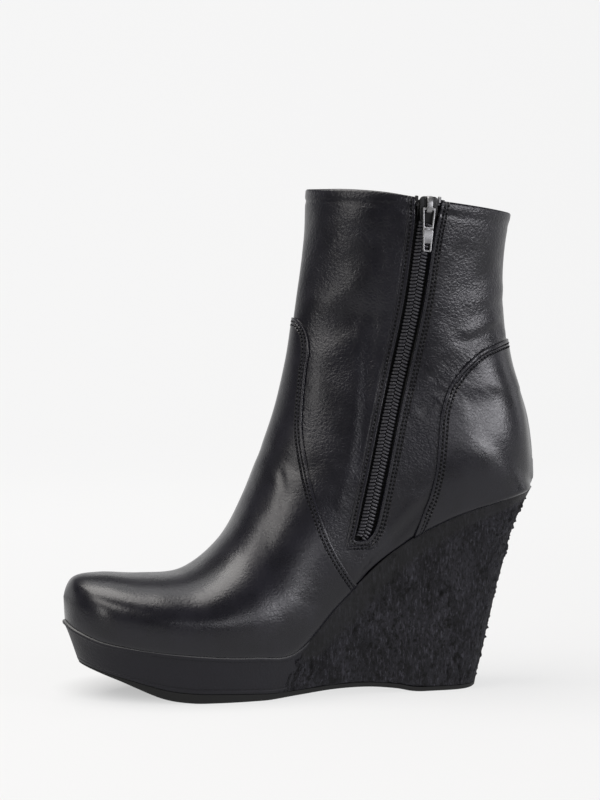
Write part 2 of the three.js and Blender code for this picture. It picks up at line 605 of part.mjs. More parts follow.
// Where a line across the boot from the inner side meets the last
function innerPoint(x, z) {
  let found = null;
  for (const triangle of lastSkin.triangles) {
    const [a, b, c] = triangle.map((k) => lastSkin.points[k]);
    const area = (b[0] - a[0]) * (c[2] - a[2]) - (c[0] - a[0]) * (b[2] - a[2]);
    if (Math.abs(area) < 1e-9) continue;
    const v = ((x - a[0]) * (c[2] - a[2]) - (c[0] - a[0]) * (z - a[2])) / area;
    const w = ((b[0] - a[0]) * (z - a[2]) - (x - a[0]) * (b[2] - a[2])) / area;
    if (v < 0 || w < 0 || v + w > 1) continue;
    const y = a[1] + v * (b[1] - a[1]) + w * (c[1] - a[1]);
    if (found && found.point.y <= y) continue;
    const [na, nb, nc] = triangle.map((k) => lastNormals[k]);
    const normal = na.clone().multiplyScalar(1 - v - w).addScaledVector(nb, v).addScaledVector(nc, w).normalize();
    found = { point: new THREE.Vector3(x, y, z), normal };
  }
  return found;
}

// The slider's own axes at its middle: X across it, Y up along it, Z out of the leather
const sliderZ = SEAT_HEIGHT + UPPER_HEIGHT - SLIDER_DROP;
const sliderX = valueAt(seamLine(ZIP_LINE).map(([x, z]) => ({ x: z, y: x })), sliderZ);
const seatOfSlider = innerPoint(sliderX, sliderZ);
const tilt = THREE.MathUtils.degToRad(SLIDER_TILT);
const outward = seatOfSlider.normal;
const upward = new THREE.Vector3(Math.sin(tilt), 0, Math.cos(tilt));
upward.addScaledVector(outward, -upward.dot(outward)).normalize();
const across = upward.clone().cross(outward);
const sliderFrame = new THREE.Matrix4().makeBasis(across, upward, outward).setPosition(seatOfSlider.point);

// Heights in the slider's axes, from the leather's face
const PLATE_BOTTOM = -CHAIN_DEPTH + 1.5 * GAP;
const PLATE_TOP = PLATE_BOTTOM + SLIDER_PLATE;
const EYE_RADIUS = PIN_RADIUS + PIN_PLAY;
const PIN_HEIGHT = PLATE_TOP + 0.15 + EYE_RADIUS;
const BRIDGE_TOP = PIN_HEIGHT + EYE_RADIUS + BRIDGE_WALL;
const BRIDGE_END = SLIDER_LENGTH / 2 - BRIDGE_LENGTH; // its lower end, along the slider
const PIN_Y = BRIDGE_END + BRIDGE_WALL + EYE_RADIUS;

function roundedShape(halfBottom, halfTop, low, high, radius) {
  const s = new THREE.Shape();
  s.moveTo(-halfBottom + radius, low);
  s.lineTo(halfBottom - radius, low);
  s.quadraticCurveTo(halfBottom, low, halfBottom, low + radius);
  s.lineTo(halfTop, high - radius);
  s.quadraticCurveTo(halfTop, high, halfTop - radius, high);
  s.lineTo(-halfTop + radius, high);
  s.quadraticCurveTo(-halfTop, high, -halfTop, high - radius);
  s.lineTo(-halfBottom, low + radius);
  s.quadraticCurveTo(-halfBottom, low, -halfBottom + radius, low);
  return s;
}

function plate(shape, bottom, thickness, edge) {
  const g = new THREE.ExtrudeGeometry(shape, {
    depth: thickness - 2 * edge,
    bevelEnabled: edge > 0,
    bevelThickness: edge,
    bevelSize: edge,
    bevelOffset: -edge,
    bevelSegments: 1,
    curveSegments: 3,
  });
  g.translate(0, 0, bottom + edge);
  return solidFromGeometry(g);
}

function makeSlider() {
  const half = SLIDER_WIDTH / 2;
  const end = SLIDER_LENGTH / 2;
  const top = plate(roundedShape(half * 0.86, half, -end, end, 2), PLATE_BOTTOM, SLIDER_PLATE, 0.3);
  const sideDepth = WALL - CHAIN_DEPTH - GAP;
  const side = new THREE.BoxGeometry(SLIDER_SIDE, SLIDER_LENGTH / 2, sideDepth + 0.5);
  side.translate(half - SLIDER_SIDE / 2 - 0.05, 0, PLATE_BOTTOM + 0.25 - sideDepth / 2);
  const right = solidFromGeometry(side);
  const bridgeSide = new THREE.Shape();
  bridgeSide.moveTo(BRIDGE_END, PLATE_TOP - 0.5);
  bridgeSide.lineTo(end - 0.4, PLATE_TOP - 0.5);
  bridgeSide.quadraticCurveTo(end - 0.4, BRIDGE_TOP, end - BRIDGE_LENGTH * 0.5, BRIDGE_TOP);
  bridgeSide.lineTo(PIN_Y, BRIDGE_TOP);
  bridgeSide.quadraticCurveTo(BRIDGE_END, BRIDGE_TOP, BRIDGE_END, PIN_HEIGHT);
  const eye = new THREE.Path();
  eye.absarc(PIN_Y, PIN_HEIGHT, EYE_RADIUS, 0, 2 * Math.PI, true);
  bridgeSide.holes.push(eye);
  const g = new THREE.ExtrudeGeometry(bridgeSide, { depth: BRIDGE_WIDTH, bevelEnabled: false, curveSegments: 6 });
  g.translate(0, 0, -BRIDGE_WIDTH / 2);
  const turn = new THREE.Matrix4().makeBasis(new THREE.Vector3(0, 1, 0), new THREE.Vector3(0, 0, 1), new THREE.Vector3(1, 0, 0));
  g.applyMatrix4(turn);
  return top.add(right).add(right.mirror([1, 0, 0])).add(solidFromGeometry(g));
}

// The pull hangs from its pin: its own axes start at the pin, with Y up
function makePull() {
  const low = PIN_RADIUS - PULL_LENGTH;
  const shape = roundedShape(PULL_BOTTOM_WIDTH / 2, PULL_TOP_WIDTH / 2, low, PIN_RADIUS + 0.1, 0.6);
  const window = roundedShape(PULL_TOP_WIDTH / 2 - PULL_ARM - 0.15, PULL_TOP_WIDTH / 2 - PULL_ARM, -FORK_LENGTH, FORK_LENGTH, 0.7);
  const eye = roundedShape(EYE_WIDTH / 2, EYE_WIDTH / 2, low + 1.2, low + 1.2 + EYE_LENGTH, 0.5);
  shape.holes.push(eye);
  const body = plate(shape, -PULL_THICKNESS / 2, PULL_THICKNESS, 0.2);
  const opening = plate(window, -PULL_THICKNESS, 2 * PULL_THICKNESS, 0);
  const pin = new THREE.CylinderGeometry(PIN_RADIUS, PIN_RADIUS, PULL_TOP_WIDTH - PULL_ARM, 12);
  pin.rotateZ(Math.PI / 2);
  return body.subtract(opening).add(solidFromGeometry(pin));
}

// A stop beside the slider, on the tape, where each row of coils ends under the collar's edge
const slotAtStops = SLOT_WIDTH * ZIP_LINE[1].width;
function makeStop(side) {
  const x = (side * (SLIDER_WIDTH / 2 + slotAtStops / 2)) / 2;
  const shape = roundedShape(STOP_WIDTH / 2, STOP_WIDTH / 2, 0, STOP_LENGTH, 0.4);
  return plate(shape, -WALL, WALL - 0.2, 0.2).translate([x, SLIDER_LENGTH / 2 - STOP_LENGTH, 0]);
}

// The largest body of a solid, without the slivers a cut leaves beside it
function mainBody(solid) {
  return solid.decompose().reduce((a, b) => (a.volume() > b.volume() ? a : b));
}

const group = new THREE.Group();
function addPiece(name, solid, material) {
  const mesh = new THREE.Mesh(geometryOf(mainBody(solid)), material);
  mesh.name = name;
  group.add(mesh);
  return mesh;
}

addPiece("upper", makeUpper(), leather);
addPiece("insole", makeInsole(), footbed);
addPiece("platform", makePlatform(), coverLeather);
addPiece("wedge", makeWedge(), roughLeather);
addPiece("outsole", makeOutsole(), rubber);
addPiece("zip_tape", makeTape(), tapeCloth);
addPiece("zip_chain", makeChain(), nylon);

addPiece("zip_slider", makeSlider(), darkMetal).applyMatrix4(sliderFrame);
const hang = Math.atan2(outward.z, upward.z); // the shaft leans out, and the pull hangs plumb
const pinFrame = sliderFrame.clone().multiply(new THREE.Matrix4().makeTranslation(0, PIN_Y, PIN_HEIGHT));
pinFrame.multiply(new THREE.Matrix4().makeRotationX(hang));
addPiece("zip_pull", makePull(), paleMetal).applyMatrix4(pinFrame);
addPiece("zip_stop_front", makeStop(-1), paleMetal).applyMatrix4(sliderFrame);
addPiece("zip_stop_back", makeStop(1), paleMetal).applyMatrix4(sliderFrame);

export default group;
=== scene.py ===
import json
import math

import bmesh
import bpy
import numpy as np
from mathutils import Matrix, Vector, noise
from mathutils.bvhtree import BVHTree
from mathutils.kdtree import KDTree


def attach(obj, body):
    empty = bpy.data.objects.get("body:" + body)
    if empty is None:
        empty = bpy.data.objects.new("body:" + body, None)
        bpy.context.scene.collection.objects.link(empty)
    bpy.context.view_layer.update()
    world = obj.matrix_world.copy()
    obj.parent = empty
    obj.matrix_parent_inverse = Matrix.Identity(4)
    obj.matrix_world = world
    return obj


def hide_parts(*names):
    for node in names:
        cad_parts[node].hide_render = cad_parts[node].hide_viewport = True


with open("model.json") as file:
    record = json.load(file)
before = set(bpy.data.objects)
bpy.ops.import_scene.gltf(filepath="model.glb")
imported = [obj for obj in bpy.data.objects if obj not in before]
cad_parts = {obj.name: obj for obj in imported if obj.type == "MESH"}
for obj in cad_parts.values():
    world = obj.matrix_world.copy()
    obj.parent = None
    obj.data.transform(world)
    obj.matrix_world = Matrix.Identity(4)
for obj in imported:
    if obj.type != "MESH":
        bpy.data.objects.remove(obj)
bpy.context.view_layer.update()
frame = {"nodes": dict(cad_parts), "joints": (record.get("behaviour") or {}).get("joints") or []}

# Upper
# Black calf, satin from handling, pulled over a last with a low round toe, full ball, steep instep and
# narrow heel, with a leg that opens towards the collar. The vamp is lapped over the leg with a U-shaped
# top, the counter over it at the back, and both laps are stitched.
MM = 0.001
LENGTH = 236
HEEL_OVERHANG = 55.5
BALL_WIDTH = 90
SEAT_HEIGHT = 22.5
HEEL_PITCH = 76
UPPER_HEIGHT = 224
TOE_SPRING = 17
WAIST_LIFT = 3.4
OUTSOLE_THICKNESS = 4.8
BACK_FLAT = 4
BALL, ANKLE, COLLAR = 45, 32.5, 39.5

# The last's sections: top's x and z, x, pitch, leg, half width, height of the widest place, two powers
SECTIONS = np.array([
    (1.0, 0.121, 0.996, 0.21, 0, 0.0, 0.45, 2.2, 2.2),
    (0.98, 0.158, 0.982, 0.172, 0, 0.35 * BALL, 0.43, 2.25, 2.2),
    (0.926, 0.165, 0.93, 0.105, 0, 0.655 * BALL, 0.4, 2.3, 2.2),
    (0.837, 0.159, 0.837, 0.054, 0, 0.872 * BALL, 0.37, 2.3, 2.2),
    (0.743, 0.167, 0.736, 0.018, 0, 0.973 * BALL, 0.34, 2.2, 2.2),
    (0.667, 0.23, 0.633, 0.0, 0, 1.0 * BALL, 0.28, 1.95, 2.2),
    (0.616, 0.326, 0.542, 0.015, 0, 0.945 * BALL, 0.27, 1.85, 2.2),
    (0.578, 0.428, 0.447, 0.302, 0, 1.155 * ANKLE, 0.3, 1.85, 2.2),
    (0.548, 0.522, 0.337, 0.61, 0, 1.07 * ANKLE, 0.35, 1.85, 2.2),
    (0.529, 0.612, 0.21, 0.838, 0, 1.033 * ANKLE, 0.4, 1.9, 2.2),
    (0.517, 0.694, 0.083, 0.96, 0, 1.01 * ANKLE, 0.43, 1.9, 2.2),
    (0.51, 0.744, 0.018, 1.0, 0.002, 1.0 * ANKLE, 0.45, 1.95, 2.1),
    (0.505, 0.78, 0.009, 1.0, 0.08, 1.003 * ANKLE, 0.46, 2, 2),
    (0.5, 0.818, 0.021, 1.0, 0.232, 1.025 * ANKLE, 0.48, 2, 2),
    (0.495, 0.86, 0.057, 1.0, 0.427, 0.88 * COLLAR, 0.49, 2, 2),
    (0.49, 0.91, 0.073, 1.0, 0.644, 0.935 * COLLAR, 0.5, 2, 2),
    (0.488, 0.972, 0.066, 1.0, 0.836, 0.98 * COLLAR, 0.5, 2, 2),
    (0.486, 1.045, 0.042, 1.0, 1.01, 1.015 * COLLAR, 0.5, 2, 2),
])
# x, inner and outer edge of the last's bottom; x, inner and outer edge of the sole on the ground
OUTLINE = np.array([
    (0.996, -0.078, -0.078, 0.97, -0.072, -0.072),
    (0.982, -0.225, 0.075, 0.957, -0.2, 0.06),
    (0.934, -0.345, 0.205, 0.915, -0.306, 0.183),
    (0.862, -0.417, 0.317, 0.85, -0.372, 0.278),
    (0.777, -0.455, 0.405, 0.773, -0.411, 0.361),
    (0.684, -0.46, 0.455, 0.688, -0.417, 0.411),
    (0.6, -0.422, 0.466, 0.616, -0.389, 0.422),
    (0.506, -0.345, 0.433, 0.553, -0.344, 0.411),
    (0.405, -0.295, 0.384, 0.468, -0.3, 0.372),
    (0.286, -0.284, 0.34, 0.362, -0.272, 0.328),
    (0.167, -0.294, 0.322, 0.256, -0.262, 0.295),
    (0.074, -0.261, 0.284, 0.18, -0.233, 0.25),
    (0.03, -0.15, 0.172, 0.144, -0.144, 0.161),
    (0.014, 0.011, 0.011, 0.131, 0.006, 0.006),
])
# x, toe spring, waist lift, outsole thickness
GROUND = np.array([
    (0.97, 1, 0, 0.28), (0.932, 0.8, 0, 0.32), (0.902, 0.64, 0, 0.45), (0.872, 0.46, 0, 0.66),
    (0.844, 0.29, 0, 0.86), (0.82, 0.165, 0, 0.97), (0.795, 0.08, 0, 1), (0.765, 0.025, 0, 1),
    (0.735, 0, 0, 0.97), (0.67, 0, 0, 0.85), (0.6, 0, 0, 0.68), (0.53, 0, 0.42, 0.54),
    (0.45, 0, 0.93, 0.48), (0.38, 0, 1, 0.46), (0.32, 0, 0.6, 0.46), (0.265, 0, 0, 0.46),
    (0.13, 0, 0, 0.46),
])
OUTLINE_END, GROUND_END = len(OUTLINE) - 1, len(GROUND) - 1
LEG_SECTION = 11


def closed_tip(rows, columns=(), start=False, end=False):
    """Adds a row at each end of a table; the named columns change sign where a form closes round a tip."""
    before, after = 2 * rows[0] - rows[1], 2 * rows[-1] - rows[-2]
    keep = [k for k in range(rows.shape[1]) if k not in columns]
    if start:
        before[keep] = rows[1][keep]
    if end:
        after[keep] = rows[-2][keep]
    return np.vstack([before, rows, after])


def smooth(rows, t):
    """Smooth curve through a table's rows, at places t counted in rows."""
    t = np.asarray(t, float)
    i = np.clip(np.floor(t).astype(int), 0, len(rows) - 4)
    f = (t - i)[..., None]
    a, b, c, d = (rows[i + k] for k in range(4))
    return b + 0.5 * f * (c - a + f * (2 * a - 5 * b + 4 * c - d + f * (3 * (b - c) + d - a)))


def along(share):
    return HEEL_OVERHANG - share * LENGTH


section_rows = closed_tip(SECTIONS, [5], start=True)
outline_mid = OUTLINE.copy()
for inner, outer in ((1, 2), (4, 5)):
    outline_mid[:, inner] = (OUTLINE[:, inner] + OUTLINE[:, outer]) / 2
    outline_mid[:, outer] = (OUTLINE[:, outer] - OUTLINE[:, inner]) / 2
outline_rows = closed_tip(outline_mid, [2, 5], start=True, end=True)

fine_outline = smooth(outline_rows, np.linspace(0, OUTLINE_END, 600))
outline_x = along(fine_outline[:, 0])
outline_y = fine_outline[:, 1] * BALL_WIDTH
outline_half = np.maximum(fine_outline[:, 2] * BALL_WIDTH, 0)
fine_ground = smooth(closed_tip(GROUND), np.linspace(0, GROUND_END, 400))
ground_x = along(fine_ground[:, 0])
ground_lift = np.maximum(fine_ground[:, 1] * TOE_SPRING + fine_ground[:, 2] * WAIST_LIFT, 0)
fine_foot = smooth(section_rows, np.linspace(0, LEG_SECTION, 400))
foot_x = along(fine_foot[:, 2])
foot_z = SEAT_HEIGHT + fine_foot[:, 3] * HEEL_PITCH


def half_at(x):
    return np.interp(x, outline_x, outline_half)


def mid_at(x):
    return np.interp(x, outline_x, outline_y)


def seat_at(x):
    return np.interp(x, foot_x, foot_z)


def ease(x, low, high):
    s = np.clip((x - low) / (high - low), 0, 1)
    return s * s * (3 - 2 * s)


LOW_SHARE = 0.38
TURN = 0.1
MARGIN = 1.6
LEG_START, LEG_FULL = 10.9, 11.7
FLAT_MOST = 0.93


def last_point(t, q):
    """Point of the last at section t; q runs from the inner lower edge, -1, over the top, 0, to 1.

    Past those edges it turns under by the lasting margin, and on the leg it closes at the back.
    """
    s = smooth(section_rows, t)
    top_x, top_z = along(s[..., 0]), SEAT_HEIGHT + s[..., 1] * UPPER_HEIGHT
    x = along(s[..., 2])
    z = SEAT_HEIGHT + s[..., 3] * HEEL_PITCH + np.maximum(s[..., 4], 0) * (UPPER_HEIGHT - HEEL_PITCH)
    half = np.maximum(s[..., 5], 0.02)
    widest, top_power, low_power = s[..., 6], s[..., 7], s[..., 8]
    on_leg = ease(t, LEG_START, LEG_FULL)
    flat = np.maximum(half_at(x), BACK_FLAT) * (1 - on_leg) + BACK_FLAT * on_leg
    flat = np.minimum(flat, FLAT_MOST * half)
    centre = mid_at(x) * (1 - on_leg) + mid_at(along(OUTLINE[-1, 0])) * on_leg
    r = 1 - np.abs(q)
    low = np.clip(r / LOW_SHARE, 0, 1) * math.pi / 2
    up = np.clip((r - LOW_SHARE) / (1 - LOW_SHARE), 0, 1) * math.pi / 2
    y_low = flat + (half - flat) * np.sin(low) ** (2 / low_power)
    v_low = widest * (1 - np.cos(low) ** (2 / low_power))
    y_up = half * np.abs(np.cos(up)) ** (2 / top_power)
    v_up = widest + (1 - widest) * np.sin(up) ** (2 / top_power)
    is_low = r < LOW_SHARE
    y, v = np.where(is_low, y_low, y_up), np.where(is_low, v_low, v_up)
    under = np.clip(-r / TURN, 0, 1)
    y = y - under * (flat * on_leg + np.minimum(MARGIN, flat) * (1 - on_leg))
    return np.stack([x + v * (top_x - x), centre + np.sign(q) * y, z + v * (top_z - z)], -1)


def unit(vectors):
    return vectors / np.maximum(np.linalg.norm(vectors, axis=-1, keepdims=True), 1e-9)


def last_normal(t, q):
    """Outward normal of the last, and the direction in it towards the collar."""
    dt, dq = 0.02, 0.004
    t0, t1 = np.maximum(t - dt, 0.001), t + dt
    q0, q1 = np.maximum(q - dq, -1 - TURN), np.minimum(q + dq, 1 + TURN)
    rise = last_point(t1, q) - last_point(t0, q)
    across = last_point(t, q1) - last_point(t, q0)
    return unit(np.cross(rise, across)), unit(rise)


def sheet(rows, columns, place):
    """A grid of faces laid out by place(u, v), with u and v from 0 to 1 and places in millimetres."""
    bm = bmesh.new()
    bmesh.ops.create_grid(bm, x_segments=rows, y_segments=columns, size=0.5)
    uv = np.array([v.co[:2] for v in bm.verts]) + 0.5
    row, column = bm.verts.layers.float.new("row"), bm.verts.layers.float.new("column")
    for vert, (u, v), point in zip(bm.verts, uv, place(uv[:, 0], uv[:, 1]) * MM):
        vert.co = point
        vert[row], vert[column] = u * rows, v * columns
    return bm


HEEL_ROUNDS = 70
HEEL_FROM, HEEL_TO, HEEL_TOP = 12, 53, 148
BACK_STRIP = 5
SEAT_CLEAR = 0.6


def round_heel(bm, last_row):
    """Softens the turn from seat to leg at the heel, where the last's sections change direction."""
    row = bm.verts.layers.float["row"]
    inside = []
    for vert in bm.verts:
        x, y, z = vert.co / MM
        at_heel = HEEL_FROM < x < HEEL_TO and seat_at(x) + SEAT_CLEAR < z < HEEL_TOP
        if at_heel and vert[row] <= last_row and abs(y) > BACK_STRIP:
            inside.append(vert)
    every_way = {"use_axis_x": True, "use_axis_y": True, "use_axis_z": True}
    for _ in range(HEEL_ROUNDS):
        bmesh.ops.smooth_vert(bm, verts=inside, factor=0.5, **every_way)


def smooth_object(name, bm, finishes):
    """Makes an object of a mesh, with soft shading."""
    mesh = bpy.data.meshes.new(name)
    bm.to_mesh(mesh)
    bm.free()
    for finish in finishes:
        mesh.materials.append(finish)
    mesh.polygons.foreach_set("use_smooth", [True] * len(mesh.polygons))
    made = bpy.data.objects.new(name, mesh)
    bpy.context.scene.collection.objects.link(made)
    return made


def piece(name, bm, finishes, body="boot"):
    """Makes an object of a mesh and lets it ride on a body."""
    made = smooth_object(name, bm, finishes)
    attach(made, body)
    return made


class Value:
    """A node's output that can be added and multiplied like a number."""

    def __init__(self, finish, socket):
        self.finish, self.socket = finish, socket

    def sum(self, operation, *others):
        inputs = {k: other for k, other in enumerate(others)}
        return self.finish.node("ShaderNodeMath", {"operation": operation}, inputs)

    def __add__(self, other):
        return self.sum("ADD", self, other)

    def __radd__(self, other):
        return self.sum("ADD", other, self)

    def __sub__(self, other):
        return self.sum("SUBTRACT", self, other)

    def __rsub__(self, other):
        return self.sum("SUBTRACT", other, self)

    def __mul__(self, other):
        return self.sum("MULTIPLY", self, other)

    def __rmul__(self, other):
        return self.sum("MULTIPLY", other, self)

    def between(self, low, high):
        settings = {"interpolation_type": "SMOOTHSTEP"}
        inputs = {"Value": self, "From Min": low, "From Max": high}
        return self.finish.node("ShaderNodeMapRange", settings, inputs)

    def near(self, place, width):
        """1 where the value is at place, 0 once it is further than width."""
        return self.sum("ABSOLUTE", self - place).between(width, 0)


class Finish:
    """A material; heights are in metres."""

    def __init__(self, name, metallic=0.0, specular=0.5):
        self.material = bpy.data.materials.new(name)
        self.material.use_nodes = True
        self.tree = self.material.node_tree
        self.shader = self.tree.nodes["Principled BSDF"]
        self.shader.inputs["Metallic"].default_value = metallic
        self.shader.inputs["Specular IOR Level"].default_value = specular

    def node(self, kind, settings=None, inputs=None, output=0):
        made = self.tree.nodes.new(kind)
        for key, value in (settings or {}).items():
            setattr(made, key, value)
        for key, value in (inputs or {}).items():
            self.feed(made.inputs[key], value)
        return Value(self, made.outputs[output])

    def feed(self, socket, value):
        if isinstance(value, Value):
            self.tree.links.new(value.socket, socket)
        else:
            socket.default_value = value

    def place(self, scale=(1, 1, 1)):
        coordinates = self.node("ShaderNodeTexCoord", output="Object")
        return self.node("ShaderNodeMapping", None, {"Vector": coordinates, "Scale": scale})

    def noise(self, size, detail, roughness=0.55, stretch=(1, 1, 1), distortion=0):
        inputs = {
            "Vector": self.place(stretch), "Scale": 1 / size, "Detail": detail,
            "Roughness": roughness, "Distortion": distortion,
        }
        return self.node("ShaderNodeTexNoise", None, inputs)

    def cells(self, size, stretch=(1, 1, 1)):
        inputs = {"Vector": self.place(stretch), "Scale": 1 / size}
        return self.node("ShaderNodeTexVoronoi", {"feature": "DISTANCE_TO_EDGE"}, inputs, "Distance")

    def bands(self, axis, scale, distortion, detail=2.0):
        inputs = {"Vector": self.place(), "Scale": scale, "Distortion": distortion, "Detail": detail}
        return self.node("ShaderNodeTexWave", {"bands_direction": axis}, inputs)

    def measure(self, name):
        return self.node("ShaderNodeAttribute", {"attribute_name": name}, None, "Fac")

    def blend(self, share, low, high):
        return self.node("ShaderNodeMix", {"data_type": "RGBA"}, {0: share, 6: low, 7: high}, 2)

    def set(self, colour, roughness, height=None):
        self.feed(self.shader.inputs["Base Color"], colour)
        self.feed(self.shader.inputs["Roughness"], roughness)
        if height is not None:
            bump = self.node("ShaderNodeBump", None, {"Strength": 1.0, "Distance": 1.0, "Height": height})
            self.feed(self.shader.inputs["Normal"], bump)
        return self.material


def grey(value, tint=0.0):
    """A grey; a tint above 0 turns it towards violet."""
    return (value, value * (1 - 0.1 * tint), value * (1 + tint), 1)


# Seams, collar and zip in side view, as shares of the length and of the height over the seat
WALL = 2.4
OVERLAY = 1.0
VAMP_SEAM = np.array([
    (0.6, 0.72), (0.52, 0.717), (0.508, 0.71), (0.498, 0.689), (0.494, 0.649), (0.502, 0.595),
    (0.51, 0.53), (0.514, 0.477), (0.51, 0.413), (0.501, 0.35), (0.485, 0.286), (0.461, 0.221),
    (0.426, 0.163), (0.37, 0.09),
])
COUNTER_SEAM = np.array([
    (-0.05, 0.667), (0.069, 0.666), (0.112, 0.658), (0.149, 0.644), (0.188, 0.61), (0.218, 0.567),
    (0.235, 0.515), (0.241, 0.454), (0.247, 0.389), (0.259, 0.33), (0.276, 0.28), (0.3, 0.2),
])
COLLAR_EDGE = np.array([
    (0.62, 0.995), (0.49, 0.997), (0.43, 0.997), (0.36, 0.991), (0.28, 0.977), (0.15, 0.958), (0.05, 0.942),
    (-0.1, 0.92),
])
COLLAR_TURN = 6.0
SLOT_WIDTH = 10
ZIP_ROWS = (2.1, 3.7)
SEAM_ROWS = (1.7, 3.5)
ZIP_LINE = np.array([
    (0.266, 1.03, 1.4), (0.269, 0.975, 1.34), (0.273, 0.93, 1.14), (0.279, 0.887, 1.05),
    (0.296, 0.743, 0.99), (0.318, 0.62, 0.97), (0.345, 0.495, 0.96), (0.364, 0.398, 0.98),
    (0.383, 0.303, 1.02), (0.392, 0.262, 0.98), (0.402, 0.238, 0.8),
])
LINE_STEPS = 12
PANEL_FAR, PANEL_LOW = 400, -50


def side_line(table):
    """A table's line in side view, in millimetres."""
    line = smooth(closed_tip(table), np.linspace(0, len(table) - 1, (len(table) - 1) * LINE_STEPS + 1))
    line[:, 0], line[:, 1] = along(line[:, 0]), SEAT_HEIGHT + line[:, 1] * UPPER_HEIGHT
    return line


vamp_line, counter_line = side_line(VAMP_SEAM), side_line(COUNTER_SEAM)
collar_line, zip_line = side_line(COLLAR_EDGE), side_line(ZIP_LINE)
zip_end = zip_line[-1, 1]


def collar_at(x):
    return np.interp(x, collar_line[:, 0], collar_line[:, 1])


def zip_centre(z):
    return np.interp(z, zip_line[::-1, 1], zip_line[::-1, 0])


def zip_half(z):
    return np.interp(z, zip_line[::-1, 1], zip_line[::-1, 2]) * SLOT_WIDTH / 2


def slot_value(points):
    """Millimetres outside the zip's slot in side view, negative inside it."""
    x, y, z = points.T
    value = np.maximum(np.abs(x - zip_centre(z)) - zip_half(z), zip_end - z)
    return np.where(y > 0, 50, value)


def winding(points, polygon):
    """True for each point in side view that lies inside a polygon."""
    x, z = points[:, 0], points[:, 2]
    inside = np.zeros(len(points), bool)
    for (ax, az), (bx, bz) in zip(polygon, np.roll(polygon, -1, 0)):
        crosses = (az > z) != (bz > z)
        at = ax + (z - az) / np.where(bz == az, 1, bz - az) * (bx - ax)
        inside ^= crosses & (x < at)
    return inside


def line_distance(points, line):
    """Distance in side view from each point to a line of points."""
    p = points[:, [0, 2]]
    best = np.full(len(p), 1e9)
    for a, b in zip(line[:-1, :2], line[1:, :2]):
        ab = b - a
        f = np.clip(((p - a) @ ab) / max(ab @ ab, 1e-9), 0, 1)
        best = np.minimum(best, np.linalg.norm(p - a - f[:, None] * ab, axis=1))
    return best


def panel_value(line, far_x):
    """Tells how far inside a panel a point lies, for the panel between a seam and the boot's far end."""
    seam = line[:, :2]
    polygon = np.vstack([[far_x, seam[0, 1]], seam, [seam[-1, 0], PANEL_LOW], [far_x, PANEL_LOW]])

    def value(points):
        return np.where(winding(points, polygon), 1, -1) * line_distance(points, seam)

    return value


vamp_value, counter_value = panel_value(vamp_line, -PANEL_FAR), panel_value(counter_line, PANEL_FAR)

# Folds of a worn boot: side (-1 inner, 1 outer, 0 both), height and half width in millimetres, and the
# fold's line in side view. A negative height is a trough.
FOLDS = [
    (-1, 0.85, 1.7, [(13, 176), (22, 179.5), (31, 182)]),
    (-1, -0.8, 1.8, [(9, 171), (20, 174), (32, 178)]),
    (-1, 0.6, 1.8, [(19, 167), (28, 171), (37, 175)]),
    (-1, -0.4, 1.8, [(26, 186), (34, 189), (41, 192)]),
    (-1, 0.35, 2.5, [(15, 190), (27, 194), (40, 198)]),
    (-1, -0.3, 2.5, [(10, 197), (22, 203), (34, 209)]),
    (-1, 0.9, 1.6, [(0, 151), (6, 156.5), (15, 165)]),
    (-1, -0.8, 1.5, [(-3, 154), (4, 160), (12, 167)]),
    (-1, 0.7, 1.6, [(-4, 158), (2, 164), (9, 170)]),
    (-1, -0.6, 1.7, [(1, 147), (8, 152), (15, 159)]),
    (-1, 0.5, 1.6, [(-1, 144), (5, 149), (10, 153)]),
    (-1, -0.35, 2.2, [(-9, 139), (-4, 145), (3, 151)]),
    (-1, 0.3, 2.6, [(-8, 128), (-3, 136), (3, 143)]),
    (-1, 0.55, 3.0, [(-41, 62), (-32, 73), (-22, 84), (-12, 95)]),
    (-1, -0.6, 2.5, [(-36, 61), (-27, 71), (-17, 82), (-8, 92)]),
    (-1, 0.35, 3.0, [(-26, 62), (-18, 74), (-10, 86)]),
    (-1, -0.55, 8.0, [(-64, 204), (-52, 207), (-42, 213), (-32, 221)]),
    (-1, 0.5, 6.5, [(-62, 190), (-52, 192), (-42, 198)]),
    (-1, -0.5, 6.0, [(-60, 176), (-50, 180), (-40, 182)]),
    (-1, 0.45, 6.0, [(-56, 166), (-48, 168), (-42, 172)]),
    (-1, 0.35, 5.0, [(-60, 229), (-48, 231), (-36, 234)]),
    (-1, -0.35, 3.0, [(-29, 236), (-31, 222), (-30, 208)]),
    (-1, 0.26, 2.4, [(-36, 192), (-39.5, 168), (-42, 140), (-45, 115), (-50, 94)]),
    (-1, -0.4, 3.0, [(-32, 188), (-35, 165), (-37, 140), (-41, 112)]),
    (-1, 0.3, 2.6, [(-28, 196), (-30, 170), (-33, 142)]),
    (-1, -0.3, 5.0, [(10, 216), (8, 200), (4, 180)]),
    (-1, -0.35, 1.6, [(-76, 108), (-75.5, 100), (-77, 93)]),
    (1, 0.5, 2.4, [(14, 176), (24, 181), (34, 184)]),
    (1, -0.55, 2.2, [(10, 171), (22, 175), (34, 179)]),
    (1, 0.45, 2.4, [(16, 190), (28, 195), (40, 200)]),
    (1, -0.45, 4.0, [(-30, 215), (-34, 180), (-40, 150)]),
    (1, 0.4, 4.5, [(-20, 210), (-24, 175), (-30, 145)]),
    (1, -0.5, 2.6, [(-30, 128), (-22, 112), (-12, 98)]),
    (1, 0.5, 2.8, [(-36, 122), (-29, 106), (-20, 92)]),
    (0, -0.3, 2.2, [(-104, 80), (-98, 87), (-94, 95)]),
    (0, -0.3, 4.5, [(-84, 118), (-72, 112), (-62, 112)]),
]
